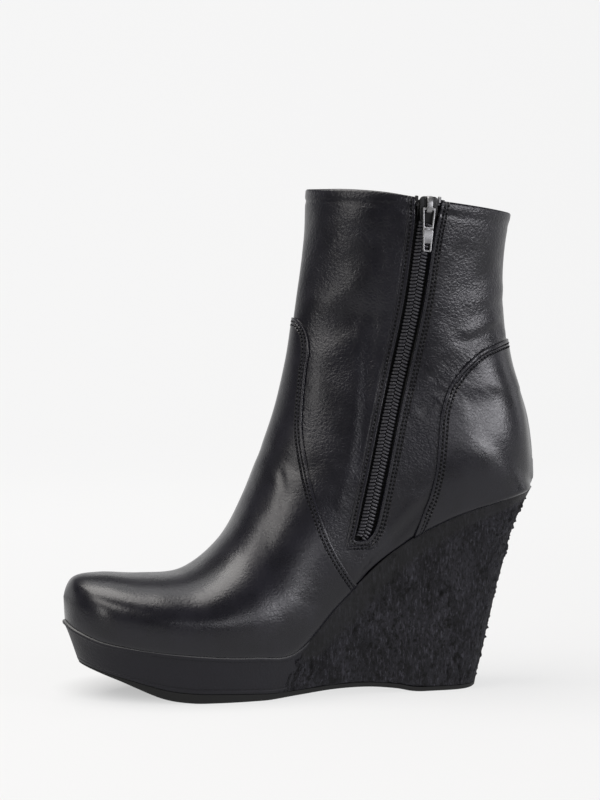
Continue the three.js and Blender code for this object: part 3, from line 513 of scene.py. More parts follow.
# Where the leather stands full over its stiffener: height, centre in side view, half lengths, lean
BULGES = [(3.3, (23, 119), (27, 22), 0.3), (0.7, (-8, 160), (16, 30), 0)]
SLOW_WAVE, LEG_WAVE = 0.14, 0.16
LEG_WAVE_LOW, LEG_WAVE_HIGH = (120, 165), (-235, -215)
COLLAR_GROOVE, COLLAR_RIM = 0.4, 0.18


def relief(points):
    """Height of the folds and of the leather's slow waves, in millimetres."""
    x, y, z = points.T
    height = SLOW_WAVE * np.sin(x / 9 + z / 17) * np.sin(z / 13 - x / 23 + y / 11)
    on_leg = ease(z, *LEG_WAVE_LOW) * ease(-z, *LEG_WAVE_HIGH)
    height += LEG_WAVE * np.sin(x / 6.1 + y / 9 + 0.4 * np.sin(z / 19)) * on_leg
    for full, (cx, cz), (rx, rz), lean in BULGES:
        far = ((x - cx) / rx) ** 2 + ((z - cz - lean * (x - cx)) / rz) ** 2
        height += full * np.exp(-far) * ease(np.abs(y), 6, 18)
    below = collar_at(x) - z
    height -= COLLAR_GROOVE * np.exp(-(below - COLLAR_TURN) ** 2)
    height += COLLAR_RIM * ease(below, COLLAR_TURN, COLLAR_TURN - 3)
    for side, depth, width, line in FOLDS:
        fine = smooth(closed_tip(np.array(line, float)), np.linspace(0, len(line) - 1, 13))
        far = line_distance(points, fine)
        weight = 1 if side == 0 else ease(side * y, 2, 14)
        height += depth * weight * np.exp(-(far / width) ** 2)
    return height * ease(below, 1.0, 4.5)


def mesh_points(bm):
    return np.array([v.co for v in bm.verts]) / MM


def trim(bm, value):
    """Cuts a sheet along the line where value is 0 and keeps the side where it is positive."""
    bm.verts.index_update()
    level = {v: d for v, d in zip(bm.verts, value(mesh_points(bm)))}
    cut = []
    for edge in list(bm.edges):
        a, b = edge.verts
        if level[a] * level[b] < 0:
            share = level[a] / (level[a] - level[b])
            _, new = bmesh.utils.edge_split(edge, a, share)
            level[new] = 0
            cut.append(new)
    bmesh.ops.connect_verts(bm, verts=cut)
    drop = [f for f in bm.faces if sum(level[v] for v in f.verts) < 0]
    bmesh.ops.delete(bm, geom=drop, context="FACES")
    return {v for v in cut if v.is_valid}


def run_of(bm, cut):
    """The cut edge of a sheet as an ordered run of points with normals."""
    bm.normal_update()
    edges = [e for e in bm.edges if e.is_boundary and e.verts[0] in cut and e.verts[1] in cut]
    links = {}
    for e in edges:
        for v in e.verts:
            links.setdefault(v, []).append(e)
    ends = [v for v in links if len(links[v]) == 1]
    start = min(ends, key=lambda v: v.co.x + v.co.y * 3) if ends else next(iter(links))
    run, v, used = [start], start, set()
    while True:
        nexts = [e for e in links[v] if e not in used]
        if not nexts:
            break
        used.add(nexts[0])
        v = nexts[0].other_vert(v)
        run.append(v)
    points = np.array([v.co for v in run]) / MM
    normals = np.array([v.normal for v in run])
    return points, normals


def resample(points, normals, pitch):
    """The same run at an even pitch, smoothed over a few millimetres."""
    step = np.linalg.norm(np.diff(points, axis=0), axis=1)
    keep = np.concatenate([[True], step > 1e-4])
    points, normals = points[keep], normals[keep]
    place = np.concatenate([[0], np.cumsum(np.linalg.norm(np.diff(points, axis=0), axis=1))])
    at = np.linspace(0, place[-1], max(int(place[-1] / pitch), 2) + 1)
    new = np.stack([np.interp(at, place, points[:, k]) for k in range(3)], -1)
    facing = np.stack([np.interp(at, place, normals[:, k]) for k in range(3)], -1)
    for _ in range(3):
        new[1:-1] = (new[:-2] + 2 * new[1:-1] + new[2:]) / 4
        facing[1:-1] = (facing[:-2] + 2 * facing[1:-1] + facing[2:]) / 4
    return new, unit(facing)


def ways(points, normals):
    """Direction along a run, and the direction in the surface to the left of it."""
    ahead = unit(np.gradient(points, axis=0))
    return ahead, unit(np.cross(normals, ahead))


def edging(points, normals, profile, side):
    """A strip along a run: profile holds distances into the sheet and heights over it."""
    _, left = ways(points, normals)
    profile = np.array(profile)

    def place(u, v):
        i = np.rint(u * (len(points) - 1)).astype(int)
        j = np.rint(v * (len(profile) - 1)).astype(int)
        return points[i] + side * left[i] * profile[j, :1] + normals[i] * profile[j, 1:]

    return sheet(len(points) - 1, len(profile) - 1, place)


def face_outwards(bm, centre=(-20, 0, 120)):
    """Turns a sheet so that most of it faces away from a point inside the boot."""
    bm.normal_update()
    middle = Vector(centre) * MM
    lean = sum(f.normal.dot(f.calc_center_median() - middle) * f.calc_area() for f in bm.faces)
    if lean < 0:
        bmesh.ops.reverse_faces(bm, faces=bm.faces)
    bm.normal_update()


def raise_by(bm, heights):
    bm.normal_update()
    for vert, normal, height in zip(bm.verts, [v.normal.copy() for v in bm.verts], heights):
        vert.co += normal * float(height) * MM


def keep_measure(bm, name, values):
    layer = bm.verts.layers.float.new(name)
    for vert, value in zip(bm.verts, values):
        vert[layer] = float(value)


def distance_to(points, run):
    """Distance from each point to a run of points."""
    tree = KDTree(len(run))
    for k, point in enumerate(run):
        tree.insert(point, k)
    tree.balance()
    return np.array([tree.find(p)[2] for p in points])


FURROW_DEPTH, FURROW_WIDTH = 0.0005, 0.65


def leather(name, grain, pebble, wave, gloss, seam_rows):
    """Satin black leather: heights of grain, pebbles and waves in metres, and where lines are stitched."""
    f = Finish(name, specular=0.36)
    patches = f.noise(0.02, 3).between(0.35, 0.65)
    fine = f.noise(0.0011, 3, 0.6)
    pebbles = f.noise(0.0018, 3, 0.55, (1, 1, 1.2), 0.15)
    creases = f.cells(0.0021, (1, 1, 1.2)).between(0.0, 0.3)
    slow = f.noise(0.009, 3, 0.5)
    opened = (pebbles * pebble + creases * (pebble * 0.35)) * (0.35 + patches * 0.65)
    height = opened + fine * grain + slow * wave
    seam = f.measure("seam")
    for row in seam_rows:
        height = height - seam.near(row, FURROW_WIDTH) * FURROW_DEPTH
    colour = f.blend(patches, grey(0.003, 0.7), grey(0.005, 0.6))
    roughness = gloss + fine * 0.07 + slow * 0.1 - creases * 0.03 + patches * 0.04
    return f.set(colour, roughness, height)


calf = leather("vamp_leather", 0.00005, 0.00006, 0.0002, 0.2, SEAM_ROWS)
leg_leather = leather("leg_leather", 0.00008, 0.0002, 0.0003, 0.23, ZIP_ROWS)
lining_finish = Finish("lining_leather")
lining = lining_finish.set(
    lining_finish.blend(lining_finish.noise(0.01, 3), grey(0.012), grey(0.022)),
    0.62 + lining_finish.noise(0.002, 2) * 0.15,
    lining_finish.cells(0.0016).between(0, 0.25) * 0.00008,
)
edge_finish = Finish("edge_leather", specular=0.36)
edge_roughness = 0.22 + edge_finish.noise(0.001, 2) * 0.12
edge_leather = edge_finish.set(grey(0.006, 0.5), edge_roughness, edge_finish.noise(0.0014, 3) * 0.00012)

# The leg's shell: rows run from toe to collar outside, over the turned edge, and down the lining.
OUTER_ROWS, ROLL_ROWS, LINING_ROWS = 250, 8, 110
SHELL_ROWS = OUTER_ROWS + ROLL_ROWS + LINING_ROWS
ACROSS = 150
TOE_CROWD = 1.08
LINING_END = 1.6
COLLAR_SECTIONS = (14.0, 17.0)
HEEL_ROWS = OUTER_ROWS - 20
MERGE, SOLE_MERGE = 0.00001, 0.00002
RUN_PITCH = 0.8
SEAM_REACH = 12
rim_radius = WALL / 2


def rim_section(q):
    """Where each line up the boot meets the collar."""
    low, high = (np.full(len(q), section) for section in COLLAR_SECTIONS)
    for _ in range(24):
        t = (low + high) / 2
        p = last_point(t, q)
        over = p[:, 2] > collar_at(p[:, 0]) - rim_radius
        high, low = np.where(over, t, high), np.where(over, low, t)
    return low


turn_q = np.linspace(1, 1 + TURN, 5)[1:]
column_q = np.concatenate([-turn_q[::-1], np.linspace(-1, 1, ACROSS + 1), turn_q])
column_end = rim_section(column_q)
COLUMNS = len(column_q) - 1


def shell_point(u, v):
    k = np.rint(u * SHELL_ROWS).astype(int)
    column = np.rint(v * COLUMNS).astype(int)
    q, end = column_q[column], column_end[column]
    outer = np.clip(k / OUTER_ROWS, 0, 1) ** TOE_CROWD
    turn = np.clip((k - OUTER_ROWS) / ROLL_ROWS, 0, 1) * math.pi
    inner = np.clip((k - OUTER_ROWS - ROLL_ROWS) / LINING_ROWS, 0, 1)
    t = np.where(inner > 0, end + (LINING_END - end) * inner, end * outer)
    point = last_point(t, q)
    normal, rise = last_normal(t, q)
    out = -rim_radius * (1 - np.cos(turn))
    lift = rim_radius * np.sin(turn)
    return point + normal * out[:, None] + rise * lift[:, None]


shell = sheet(SHELL_ROWS, COLUMNS, shell_point)
bmesh.ops.remove_doubles(shell, verts=shell.verts, dist=MERGE)
round_heel(shell, HEEL_ROWS)


def outer_sheet(end=None):
    """The last's skin from the toe to the collar, or to section end, one layer thick."""
    def place(u, v):
        column = np.rint(v * COLUMNS).astype(int)
        return last_point((column_end[column] if end is None else end) * u ** TOE_CROWD, column_q[column])

    bm = sheet(OUTER_ROWS, COLUMNS, place)
    bmesh.ops.remove_doubles(bm, verts=bm.verts, dist=MERGE)
    round_heel(bm, HEEL_ROWS)
    face_outwards(bm)
    return bm


form = outer_sheet(len(SECTIONS) - 1)
form_tree = BVHTree.FromBMesh(form)

vamp = outer_sheet()
vamp_run = resample(*run_of(vamp, trim(vamp, vamp_value)), RUN_PITCH)
counter = outer_sheet()
counter_run = resample(*run_of(counter, trim(counter, counter_value)), RUN_PITCH)

trim(shell, slot_value)
face_outwards(shell)
shell_at = mesh_points(shell)
keep_measure(shell, "seam", np.clip(slot_value(shell_at), -5, SEAM_REACH))
row_layer = shell.verts.layers.float["row"]
outside = np.array([v[row_layer] < OUTER_ROWS + 1 for v in shell.verts])
raise_by(shell, relief(shell_at) * outside)
for face in shell.faces:
    rows = [v[row_layer] for v in face.verts]
    face.material_index = int(sum(rows) / len(rows) > OUTER_ROWS + ROLL_ROWS / 2)
upper_shell = piece("leg_shell", shell, [leg_leather, lining])
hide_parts("upper")


def on_leather(points, height):
    """The same points set down on the leather, a height above the last, with the normals there."""
    found = [form_tree.find_nearest(Vector(p) * MM) for p in points]
    base = np.array([f[0] for f in found]) / MM
    normals = np.array([f[1] for f in found])
    return base + normals * (relief(base)[:, None] + height), normals


# One stitch: a short thread lying in its furrow
STITCH_PITCH = 1.95
STITCH_LENGTH = 1.2
THREAD = 0.75
STITCH_LIFT = 0.02
thread_finish = Finish("thread", specular=0.15)
thread = thread_finish.set(grey(0.002), 0.8)


def stitches(name, rows):
    """Rows of stitches; each row has points and normals along it."""
    bm = bmesh.new()
    for points, normals in rows:
        points, normals = resample(points, normals, STITCH_PITCH)
        ahead, left = ways(points, normals)
        for p, n, a, l in zip(points, normals, ahead, left):
            turn = Matrix((a, l, n)).transposed().to_4x4()
            size = Matrix.Diagonal((STITCH_LENGTH / 2, THREAD / 2, THREAD / 2, 1))
            place = Matrix.Translation(Vector(p) * MM) @ turn @ Matrix.Scale(MM, 4) @ size
            bmesh.ops.create_uvsphere(bm, u_segments=6, v_segments=4, radius=1, matrix=place)
    made = piece(name, bm, [thread])
    return made


# The lap's edge: distances into the panel and heights over the leg
LAP_EDGE = [
    (1.5, OVERLAY + 0.01), (0.9, OVERLAY + 0.07), (0.45, OVERLAY + 0.05), (0.15, OVERLAY - 0.12),
    (0.0, OVERLAY - 0.4), (0.0, OVERLAY * 0.3), (0.1, -0.3),
]
panels = (("vamp", vamp, vamp_run, vamp_value), ("counter", counter, counter_run, counter_value))
for name, bm, run, value in panels:
    at = mesh_points(bm)
    keep_measure(bm, "seam", np.clip(distance_to(at, resample(*run, 0.2)[0]), 0, SEAM_REACH))
    raise_by(bm, relief(at) + OVERLAY)
    made = piece(name, bm, [calf])
    points, normals = run
    _, left = ways(points, normals)
    inward = 1 if np.mean(value(points + left * 2)) > 0 else -1
    lap = edging(points + normals * relief(points)[:, None], normals, LAP_EDGE, inward)
    face_outwards(lap)
    piece(name + "_edge", lap, [edge_leather])
    rows = [on_leather(points + left * inward * d, OVERLAY + STITCH_LIFT) for d in SEAM_ROWS]
    stitches(name + "_stitches", rows)

# Zip
# A coil zip sewn behind a slot whose leather edges are folded and stitched: one row ahead of it, two
# behind it and round its squared lower end. The coils are nylon on a woven cloth tape.
GAP = 0.3
TAPE_MARGIN = 4
TAPE_THICKNESS = 0.9
CHAIN_WIDTH = 7
CHAIN_DEPTH = 0.7
SLOT_CORNER = 1.2
COLLAR_AT_ZIP, ZIP_DROP = 241, 0.4
ROW_END = 2.0
ROW_TURN = 3
FOLDED_EDGE = [
    (1.3, 0.0), (0.95, 0.12), (0.6, 0.24), (0.25, 0.2), (0.03, -0.1), (-0.06, -0.6), (0.0, -1.4),
    (0.0, -WALL),
]


def pierce(x, z):
    """Where lines across the boot meet the last's inner side, with the normals there."""
    across = Vector((0, 1, 0))
    found = [form_tree.ray_cast(Vector((a, -200, b)) * MM, across) for a, b in zip(x, z)]
    return np.array([f[0] for f in found]) / MM, np.array([f[1] for f in found])


zip_top = collar_at(zip_centre(COLLAR_AT_ZIP)) - ZIP_DROP
heights = np.linspace(zip_top, zip_end, 150)
front_side = np.stack([zip_centre(heights) - zip_half(heights), heights], -1)
back_side = np.stack([zip_centre(heights) + zip_half(heights), heights], -1)[::-1]
corner_turn = np.linspace(0, math.pi / 2, 5)[:, None]
corner_x, corner_z = 1 - np.cos(corner_turn), 1 - np.sin(corner_turn)
front_corner = front_side[-1] + SLOT_CORNER * np.hstack([corner_x, corner_z])
back_corner = back_side[0] + SLOT_CORNER * np.hstack([-corner_x, corner_z])[::-1]
high = front_side[:, 1] > zip_end + SLOT_CORNER
low = back_side[:, 1] > zip_end + SLOT_CORNER
outline = np.vstack([front_side[high], front_corner, back_corner, back_side[low]])
points, normals = resample(*pierce(*outline.T), RUN_PITCH)
_, left = ways(points, normals)
away = 1 if np.mean(slot_value(points + left * 2)) > 0 else -1
fold = edging(points + normals * relief(points)[:, None], normals, FOLDED_EDGE, away)
face_outwards(fold)
piece("zip_edge", fold, [edge_leather])
near_row, far_row = (points + left * away * row for row in ZIP_ROWS)
far_row = far_row[points[:, 0] > zip_centre(points[:, 2]) - ROW_TURN]
rows = [row[row[:, 2] < collar_at(row[:, 0]) - ROW_END] for row in (near_row, far_row)]
stitches("zip_stitches", [on_leather(row, STITCH_LIFT) for row in rows])

tape_finish = Finish("tape_cloth", specular=0.2)
tape_cloth = tape_finish.set(grey(0.006), 0.95, tape_finish.bands("Z", 900, 0.5) * 0.00012)
TAPE_ROWS, TAPE_COLUMNS = 150, 12
TAPE_DROP = 1.2
TAPE_SHORT, TAPE_NARROW = 0.8, 0.6


def tape_point(u, v):
    low = zip_end - TAPE_MARGIN + TAPE_SHORT
    z = low + u * (zip_top - TAPE_DROP - low)
    x = zip_centre(z) + (v * 2 - 1) * (zip_half(z) + TAPE_MARGIN - TAPE_NARROW)
    base, normal = pierce(x, z)
    return base - normal * (WALL + GAP)


tape = sheet(TAPE_ROWS, TAPE_COLUMNS, tape_point)
face_outwards(tape)
bmesh.ops.solidify(tape, geom=tape.faces, thickness=TAPE_THICKNESS * MM)
tape_piece = piece("tape", tape, [tape_cloth])
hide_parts("zip_tape")

TOOTH_PITCH = 1.72
TOOTH_RADIUS = 0.84
TOOTH_LEAN = math.radians(13)
TOOTH_DROP = 0.45
PINCH, PINCH_WIDTH = 0.5, 0.18
coil_finish = Finish("coil_nylon", specular=0.5)
coil = coil_finish.set(grey(0.02, 0.2), 0.36, coil_finish.noise(0.0009, 2) * 0.00003)


def tooth(bm, place, ahead, left, normal, side, spread=0.0):
    """One turn of a coil, pinched where the sewing thread crosses it."""
    reach = CHAIN_WIDTH / 4
    lean = unit(side * left * math.cos(TOOTH_LEAN) + ahead * math.sin(TOOTH_LEAN))
    rise = np.cross(lean, normal)
    centre = place + side * left * (reach + spread) - normal * (CHAIN_DEPTH + TOOTH_RADIUS)
    turn = Matrix((lean, rise, normal)).transposed().to_4x4()
    size = Matrix.Diagonal((reach * 1.05, TOOTH_RADIUS, TOOTH_RADIUS, 1))
    matrix = Matrix.Translation(Vector(centre) * MM) @ turn @ Matrix.Scale(MM, 4) @ size
    upright = Matrix.Rotation(math.pi / 2, 4, "Y")
    made = bmesh.ops.create_uvsphere(bm, u_segments=8, v_segments=9, radius=1, matrix=upright)
    for vert in made["verts"]:
        pinch = 1 - PINCH * math.exp(-(vert.co.x / PINCH_WIDTH) ** 2)
        full = (1 - vert.co.x ** 2 + 1e-6) ** -0.22
        drop = TOOTH_DROP * max(vert.co.x, 0.0)
        vert.co = Vector((vert.co.x, vert.co.y * pinch * full, vert.co.z * pinch * full - drop))
    bmesh.ops.transform(bm, matrix=matrix, verts=made["verts"])


SLIDER_LOW = 229.6
SPLAY_LOW = 237.5
SPLAY, SPLAY_LIFT = 2.6, 0.5
centre_z = np.linspace(zip_end + 1.2, zip_top, 300)
centre_run = resample(*pierce(zip_centre(centre_z), centre_z), TOOTH_PITCH / 2)
chain = bmesh.new()
ahead, left = ways(*centre_run)
for k, (p, n, a, l) in enumerate(zip(*centre_run, ahead, left)):
    side = 1 if k % 2 else -1
    if p[2] < SLIDER_LOW:
        tooth(chain, p, -a, l, n, side)
    elif p[2] > SPLAY_LOW:
        tooth(chain, p + n * SPLAY_LIFT, -a, l, n, side, SPLAY)
chain_piece = piece("coils", chain, [coil])
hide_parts("zip_chain")

# Slider, pull and stops
# A dark cast slider closed at the top of the zip, with a pale strap over its plate; the pale pull hangs
# from the strap by its pin and swings up about it.
SLIDER_LENGTH = 12.6
SLIDER_WIDTH = 9.4
PLATE_BOTTOM = -0.25
PLATE_TOP = 1.05
PIN_Y = 0.4
PIN_HEIGHT = 2.1
BRIDGE_WIDTH = 2.7
BRIDGE_TOP = 3.8
BRIDGE_END = -0.9
PULL_LENGTH = 20.2
PULL_TOP = 6.2
PULL_BOTTOM = 4.1
PULL_THICKNESS = 1.2
PIN_RADIUS = 0.55
SHARP = 0.9
CORNER_STEPS = 5
hinge = next(j for j in frame["joints"] if j["name"] == "pull_hinge")
pin = Vector(hinge["pos_m"])
across_axis = -Vector(hinge["axis"]).normalized()
out_axis = Vector(form_tree.find_nearest(pin)[1])
out_axis = (out_axis - across_axis * out_axis.dot(across_axis)).normalized()
up_axis = out_axis.cross(across_axis)
facing = Matrix((across_axis, up_axis, out_axis)).transposed().to_4x4()
from_pin = Matrix.Translation(Vector((0, -PIN_Y, -PIN_HEIGHT)) * MM)
slider_place = Matrix.Translation(pin) @ facing @ from_pin


def metal(name, value, rough, scratches):
    f = Finish(name, metallic=1.0)
    wear = f.noise(0.0015, 4, 0.7)
    colour = f.blend(wear, grey(value * 0.8, 0.01), grey(value, 0.01))
    return f.set(colour, rough + wear * 0.18, f.noise(0.0005, 3, 0.6, (1, 1, 0.2)) * scratches)


dark_metal = metal("dark_metal", 0.035, 0.26, 0.00001)
pale_metal = metal("pale_metal", 0.27, 0.34, 0.00001)


def round_edges(bm, edges, radius, segments):
    bmesh.ops.bevel(
        bm, geom=edges, offset=radius, segments=segments, profile=0.5, affect="EDGES", material=-1)


def thicken(bm, thickness, rounding, segments):
    """Gives a flat plate its thickness and rounds its edges."""
    raised = bmesh.ops.extrude_face_region(bm, geom=bm.faces[:])
    top = [v for v in raised["geom"] if isinstance(v, bmesh.types.BMVert)]
    bmesh.ops.translate(bm, verts=top, vec=(0, 0, thickness))
    bmesh.ops.recalc_face_normals(bm, faces=bm.faces)
    if rounding:
        level = [e for e in bm.edges if abs(e.verts[0].co.z - e.verts[1].co.z) < 1e-6]
        round_edges(bm, [e for e in level if e.calc_face_angle(0) > SHARP], rounding, segments)
    return bm


def slab(outline, low, high, rounding):
    """A plate cut to an outline, with rounded edges."""
    bm = bmesh.new()
    bm.faces.new([bm.verts.new((x, y, low)) for x, y in outline])
    return thicken(bm, high - low, rounding, 3)


def rounded(half_low, half_high, low, high, radius):
    """Outline of a plate, half_low wide at its lower end and half_high at its upper end."""
    points = []
    corners = ((half_low - radius, low + radius, -90), (half_high - radius, high - radius, 0),
               (radius - half_high, high - radius, 90), (radius - half_low, low + radius, 180))
    for x, y, start in corners:
        for k in range(CORNER_STEPS + 1):
            a = math.radians(start + 90 * k / CORNER_STEPS)
            points.append((x + radius * math.cos(a), y + radius * math.sin(a)))
    return points


def join_into(bm, other):
    """Adds one mesh to another."""
    part = bpy.data.meshes.new("part")
    other.to_mesh(part)
    other.free()
    bm.from_mesh(part)
    bpy.data.meshes.remove(part)


def put_on_slider(bm, place=slider_place):
    bmesh.ops.transform(bm, matrix=place @ Matrix.Scale(MM, 4), verts=bm.verts)
    return bm


half = SLIDER_WIDTH / 2
end = SLIDER_LENGTH / 2
body = slab(rounded(half * 0.82, half, -end, end, 2.2), PLATE_BOTTOM, PLATE_TOP, 0.45)
RAIL_LOW, RAIL_HALF, RAIL_WALL = -1.5, 3.1, 0.35
for side in (-1, 1):
    near, far = side * half - RAIL_WALL, side * half + 0.05 * side
    corners = [(near, -RAIL_HALF), (far, -RAIL_HALF), (far, RAIL_HALF), (near, RAIL_HALF)]
    join_into(body, slab(corners, RAIL_LOW, PLATE_BOTTOM + 0.3, 0))
hump = slab(rounded(2.0, 2.4, -0.2, end - 0.2, 1.2), PLATE_TOP - 0.2, PLATE_TOP + 0.75, 0.5)
join_into(body, hump)
slider_piece = piece("slider_body", put_on_slider(body), [dark_metal])
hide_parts("zip_slider")

# The strap is bent from a flat bar: up from the plate's end, over the pin and down again
bridge = bmesh.new()
STRAP = 0.75
strap_path = [
    (end - 0.5, PLATE_TOP - 0.3), (end - 0.5, 2.3), (end - 1.3, 3.2), (end - 2.6, BRIDGE_TOP - 0.15),
    (PIN_Y + 0.7, BRIDGE_TOP), (PIN_Y - 0.6, BRIDGE_TOP - 0.25), (BRIDGE_END + 0.15, 2.9),
    (BRIDGE_END, 2.1), (BRIDGE_END + 0.05, PLATE_TOP - 0.3),
]
side_x = BRIDGE_WIDTH / 2
rings = []
for k, (y, z) in enumerate(strap_path):
    before, after = strap_path[max(k - 1, 0)], strap_path[min(k + 1, len(strap_path) - 1)]
    along_y, along_z = after[0] - before[0], after[1] - before[1]
    size = math.hypot(along_y, along_z)
    low_y, low_z = y + along_z / size * STRAP, z + along_y / size * STRAP
    corners = ((-side_x, y, z), (side_x, y, z), (side_x, low_y, low_z), (-side_x, low_y, low_z))
    ring = [bridge.verts.new(corner) for corner in corners]
    rings.append([bridge.edges.new((ring[i], ring[(i + 1) % 4])) for i in range(4)])
for a, b in zip(rings, rings[1:]):
    bmesh.ops.bridge_loops(bridge, edges=a + b)
bmesh.ops.holes_fill(bridge, edges=bridge.edges)
bmesh.ops.recalc_face_normals(bridge, faces=bridge.faces)
long_edges = [e for e in bridge.edges if abs(e.verts[0].co.x - e.verts[1].co.x) < 1e-6]
round_edges(bridge, [e for e in long_edges if e.calc_face_angle(0) > SHARP], 0.22, 2)
piece("slider_strap", put_on_slider(bridge), [pale_metal])

hang = Matrix.Rotation(math.atan2(out_axis.z, up_axis.z), 4, "X")
pull_place = slider_place @ Matrix.Translation(Vector((0, PIN_Y, PIN_HEIGHT)) * MM) @ hang
pull_low = PIN_RADIUS - PULL_LENGTH - 0.9
WINDOW_LOW, ARM = -8.8, 0.78
EYE_HALF, EYE_LOW, EYE_LENGTH = 1.4, pull_low + 0.8, 3.3


def frame_plate(outer, inner, half_thick, rounding):
    """A plate with a window: the outer and inner outlines have as many points."""
    bm = bmesh.new()
    loops = []
    for outline in (outer, inner):
        verts = [bm.verts.new((x, y, -half_thick)) for x, y in outline]
        loops.append([bm.edges.new((verts[i], verts[(i + 1) % len(verts)])) for i in range(len(verts))])
    bmesh.ops.bridge_loops(bm, edges=loops[0] + loops[1])
    return thicken(bm, 2 * half_thick, rounding, 2)


def pull_half(y):
    return PULL_BOTTOM / 2 + (PULL_TOP - PULL_BOTTOM) / 2 * (y - pull_low) / (PIN_RADIUS - pull_low)


half_thick = PULL_THICKNESS / 2
plate_top = WINDOW_LOW - 1.15
pull = frame_plate(
    rounded(pull_half(WINDOW_LOW - 0.2), PULL_TOP / 2, WINDOW_LOW - 0.75, PIN_RADIUS, 0.5),
    rounded(pull_half(WINDOW_LOW) - ARM, PULL_TOP / 2 - ARM, WINDOW_LOW + 0.2, PIN_RADIUS - 1.1, 0.7),
    half_thick, 0.22)
join_into(pull, frame_plate(
    rounded(PULL_BOTTOM / 2, pull_half(plate_top), pull_low, plate_top, 0.6),
    rounded(EYE_HALF - 0.1, EYE_HALF, EYE_LOW, EYE_LOW + EYE_LENGTH, 0.5),
    half_thick * 0.9, 0.2))
neck_half = pull_half(WINDOW_LOW) - 0.25
neck = rounded(neck_half, neck_half, WINDOW_LOW - 1.9, WINDOW_LOW - 0.4, 0.3)
join_into(pull, slab(neck, -half_thick * 0.6, half_thick * 0.6, 0))
bmesh.ops.create_cone(pull, cap_ends=True, segments=16, radius1=PIN_RADIUS, radius2=PIN_RADIUS,
                      depth=PULL_TOP - ARM, matrix=Matrix.Rotation(math.pi / 2, 4, "Y"))
pull_piece = piece("pull", put_on_slider(pull, pull_place), [pale_metal], "pull")
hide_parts("zip_pull")
for node, finish in (("zip_stop_front", dark_metal), ("zip_stop_back", pale_metal)):
    stop = frame["nodes"][node]
    stop.data.materials.clear()
    stop.data.materials.append(finish)

# Platform
# A slab under the forefoot, wrapped in smooth leather that is rolled into a lip under the upper. The
# sole's side runs from the ground up to the last's lower edge and curves in a little at the back.
COVER_OUT = 1.0
LIP_OUT, LIP_HEIGHT, LIP_RISE = 1.9, 2.4, 0.2
WEDGE_HOLLOW, HOLLOW_FROM = 6, 0.35
JOINT_TOP_BACK, JOINT_SLOPE = 122, 12.5
ground_thick = fine_ground[:, 3] * OUTSOLE_THICKNESS
joint_top = np.array([HEEL_OVERHANG - JOINT_TOP_BACK, seat_at(HEEL_OVERHANG - JOINT_TOP_BACK)])


def station(u):
    """A place round the sole, 0 and 1 at the toe and 0.5 at the heel's back: row, side and normal."""
    t = OUTLINE_END * (1 - np.abs(1 - 2 * u))
    side = np.where(u < 0.5, -1.0, 1.0)
    o, before, after = (
        smooth(outline_rows, np.clip(at, 0, OUTLINE_END)) for at in (t, t - 0.05, t + 0.05)
    )
    narrowing = (before[..., 2] - after[..., 2]) * BALL_WIDTH
    advance = (before[..., 0] - after[..., 0]) * LENGTH
    normal = np.stack([narrowing, np.abs(advance)], -1)
    tip = np.minimum(t, OUTLINE_END - t) < 0.03
    normal[tip] = np.stack([np.where(t[tip] < 5, -1.0, 1.0), np.zeros(tip.sum())], -1)
    return o, side, unit(normal)


def ground_at(x):
    return np.interp(x, ground_x, ground_lift)


def outsole_at(x):
    return np.interp(x, ground_x, ground_thick)


def sole_side(u, share, out, rise=0.0):
    """Point of the sole's side: share of the way up, out beyond it and rise above it in millimetres."""
    o, side, normal = station(u)
    gx, sx = along(o[..., 3]), along(o[..., 0])
    ground_y = (o[..., 4] + side * np.maximum(o[..., 5], 0)) * BALL_WIDTH
    seat_y = (o[..., 1] + side * np.maximum(o[..., 2], 0)) * BALL_WIDTH
    ground = np.stack([gx, ground_y, ground_at(gx)], -1)
    seat = np.stack([sx, seat_y, seat_at(sx)], -1)
    share = np.asarray(share)[..., None]
    p = ground + share * (seat - ground)
    share = share[..., 0]
    hollow = ease(sx, along(HOLLOW_FROM), along(0)) * WEDGE_HOLLOW
    p[..., 0] -= hollow * (share - np.maximum(share, 0) ** 6)
    p[..., 0] += out * normal[..., 0]
    p[..., 1] += side * out * normal[..., 1]
    p[..., 2] += rise
    return p


def outsole_share(u, extra):
    o, _, _ = station(u)
    gx = along(o[..., 3])
    return (outsole_at(gx) + extra) / (seat_at(along(o[..., 0])) - ground_at(gx))


def joint_value(points):
    """Millimetres ahead of the joint between platform and wedge."""
    x, z = points[:, 0], points[:, 2]
    return joint_top[0] - (joint_top[1] - z) * JOINT_SLOPE / joint_top[1] - x


def profile_sheet(columns, rows, profile):
    """A sheet round the sole; profile(u, k) gives a share, an outward step and a rise for row k."""
    def place(u, v):
        return sole_side(u, *profile(u, np.rint(v * rows).astype(int)))

    bm = sheet(columns, rows, place)
    bmesh.ops.remove_doubles(bm, verts=bm.verts, dist=SOLE_MERGE)
    return bm


PLATFORM_COLUMNS = 560
LIP_ROWS, SIDE_ROWS, TUCK_ROWS, HIDDEN_ROWS = 9, 26, 2, 4
# Column of the lip's crest, and the half width of the painted highlight along it
LIP_CREST, LIP_HIGHLIGHT_WIDTH = 34.5, 1.7
GROOVE_LEVEL, GROOVE_WIDTH = 4.8, 0.9
TUCK_STEP = 2.0
PLATFORM_END = -1.0


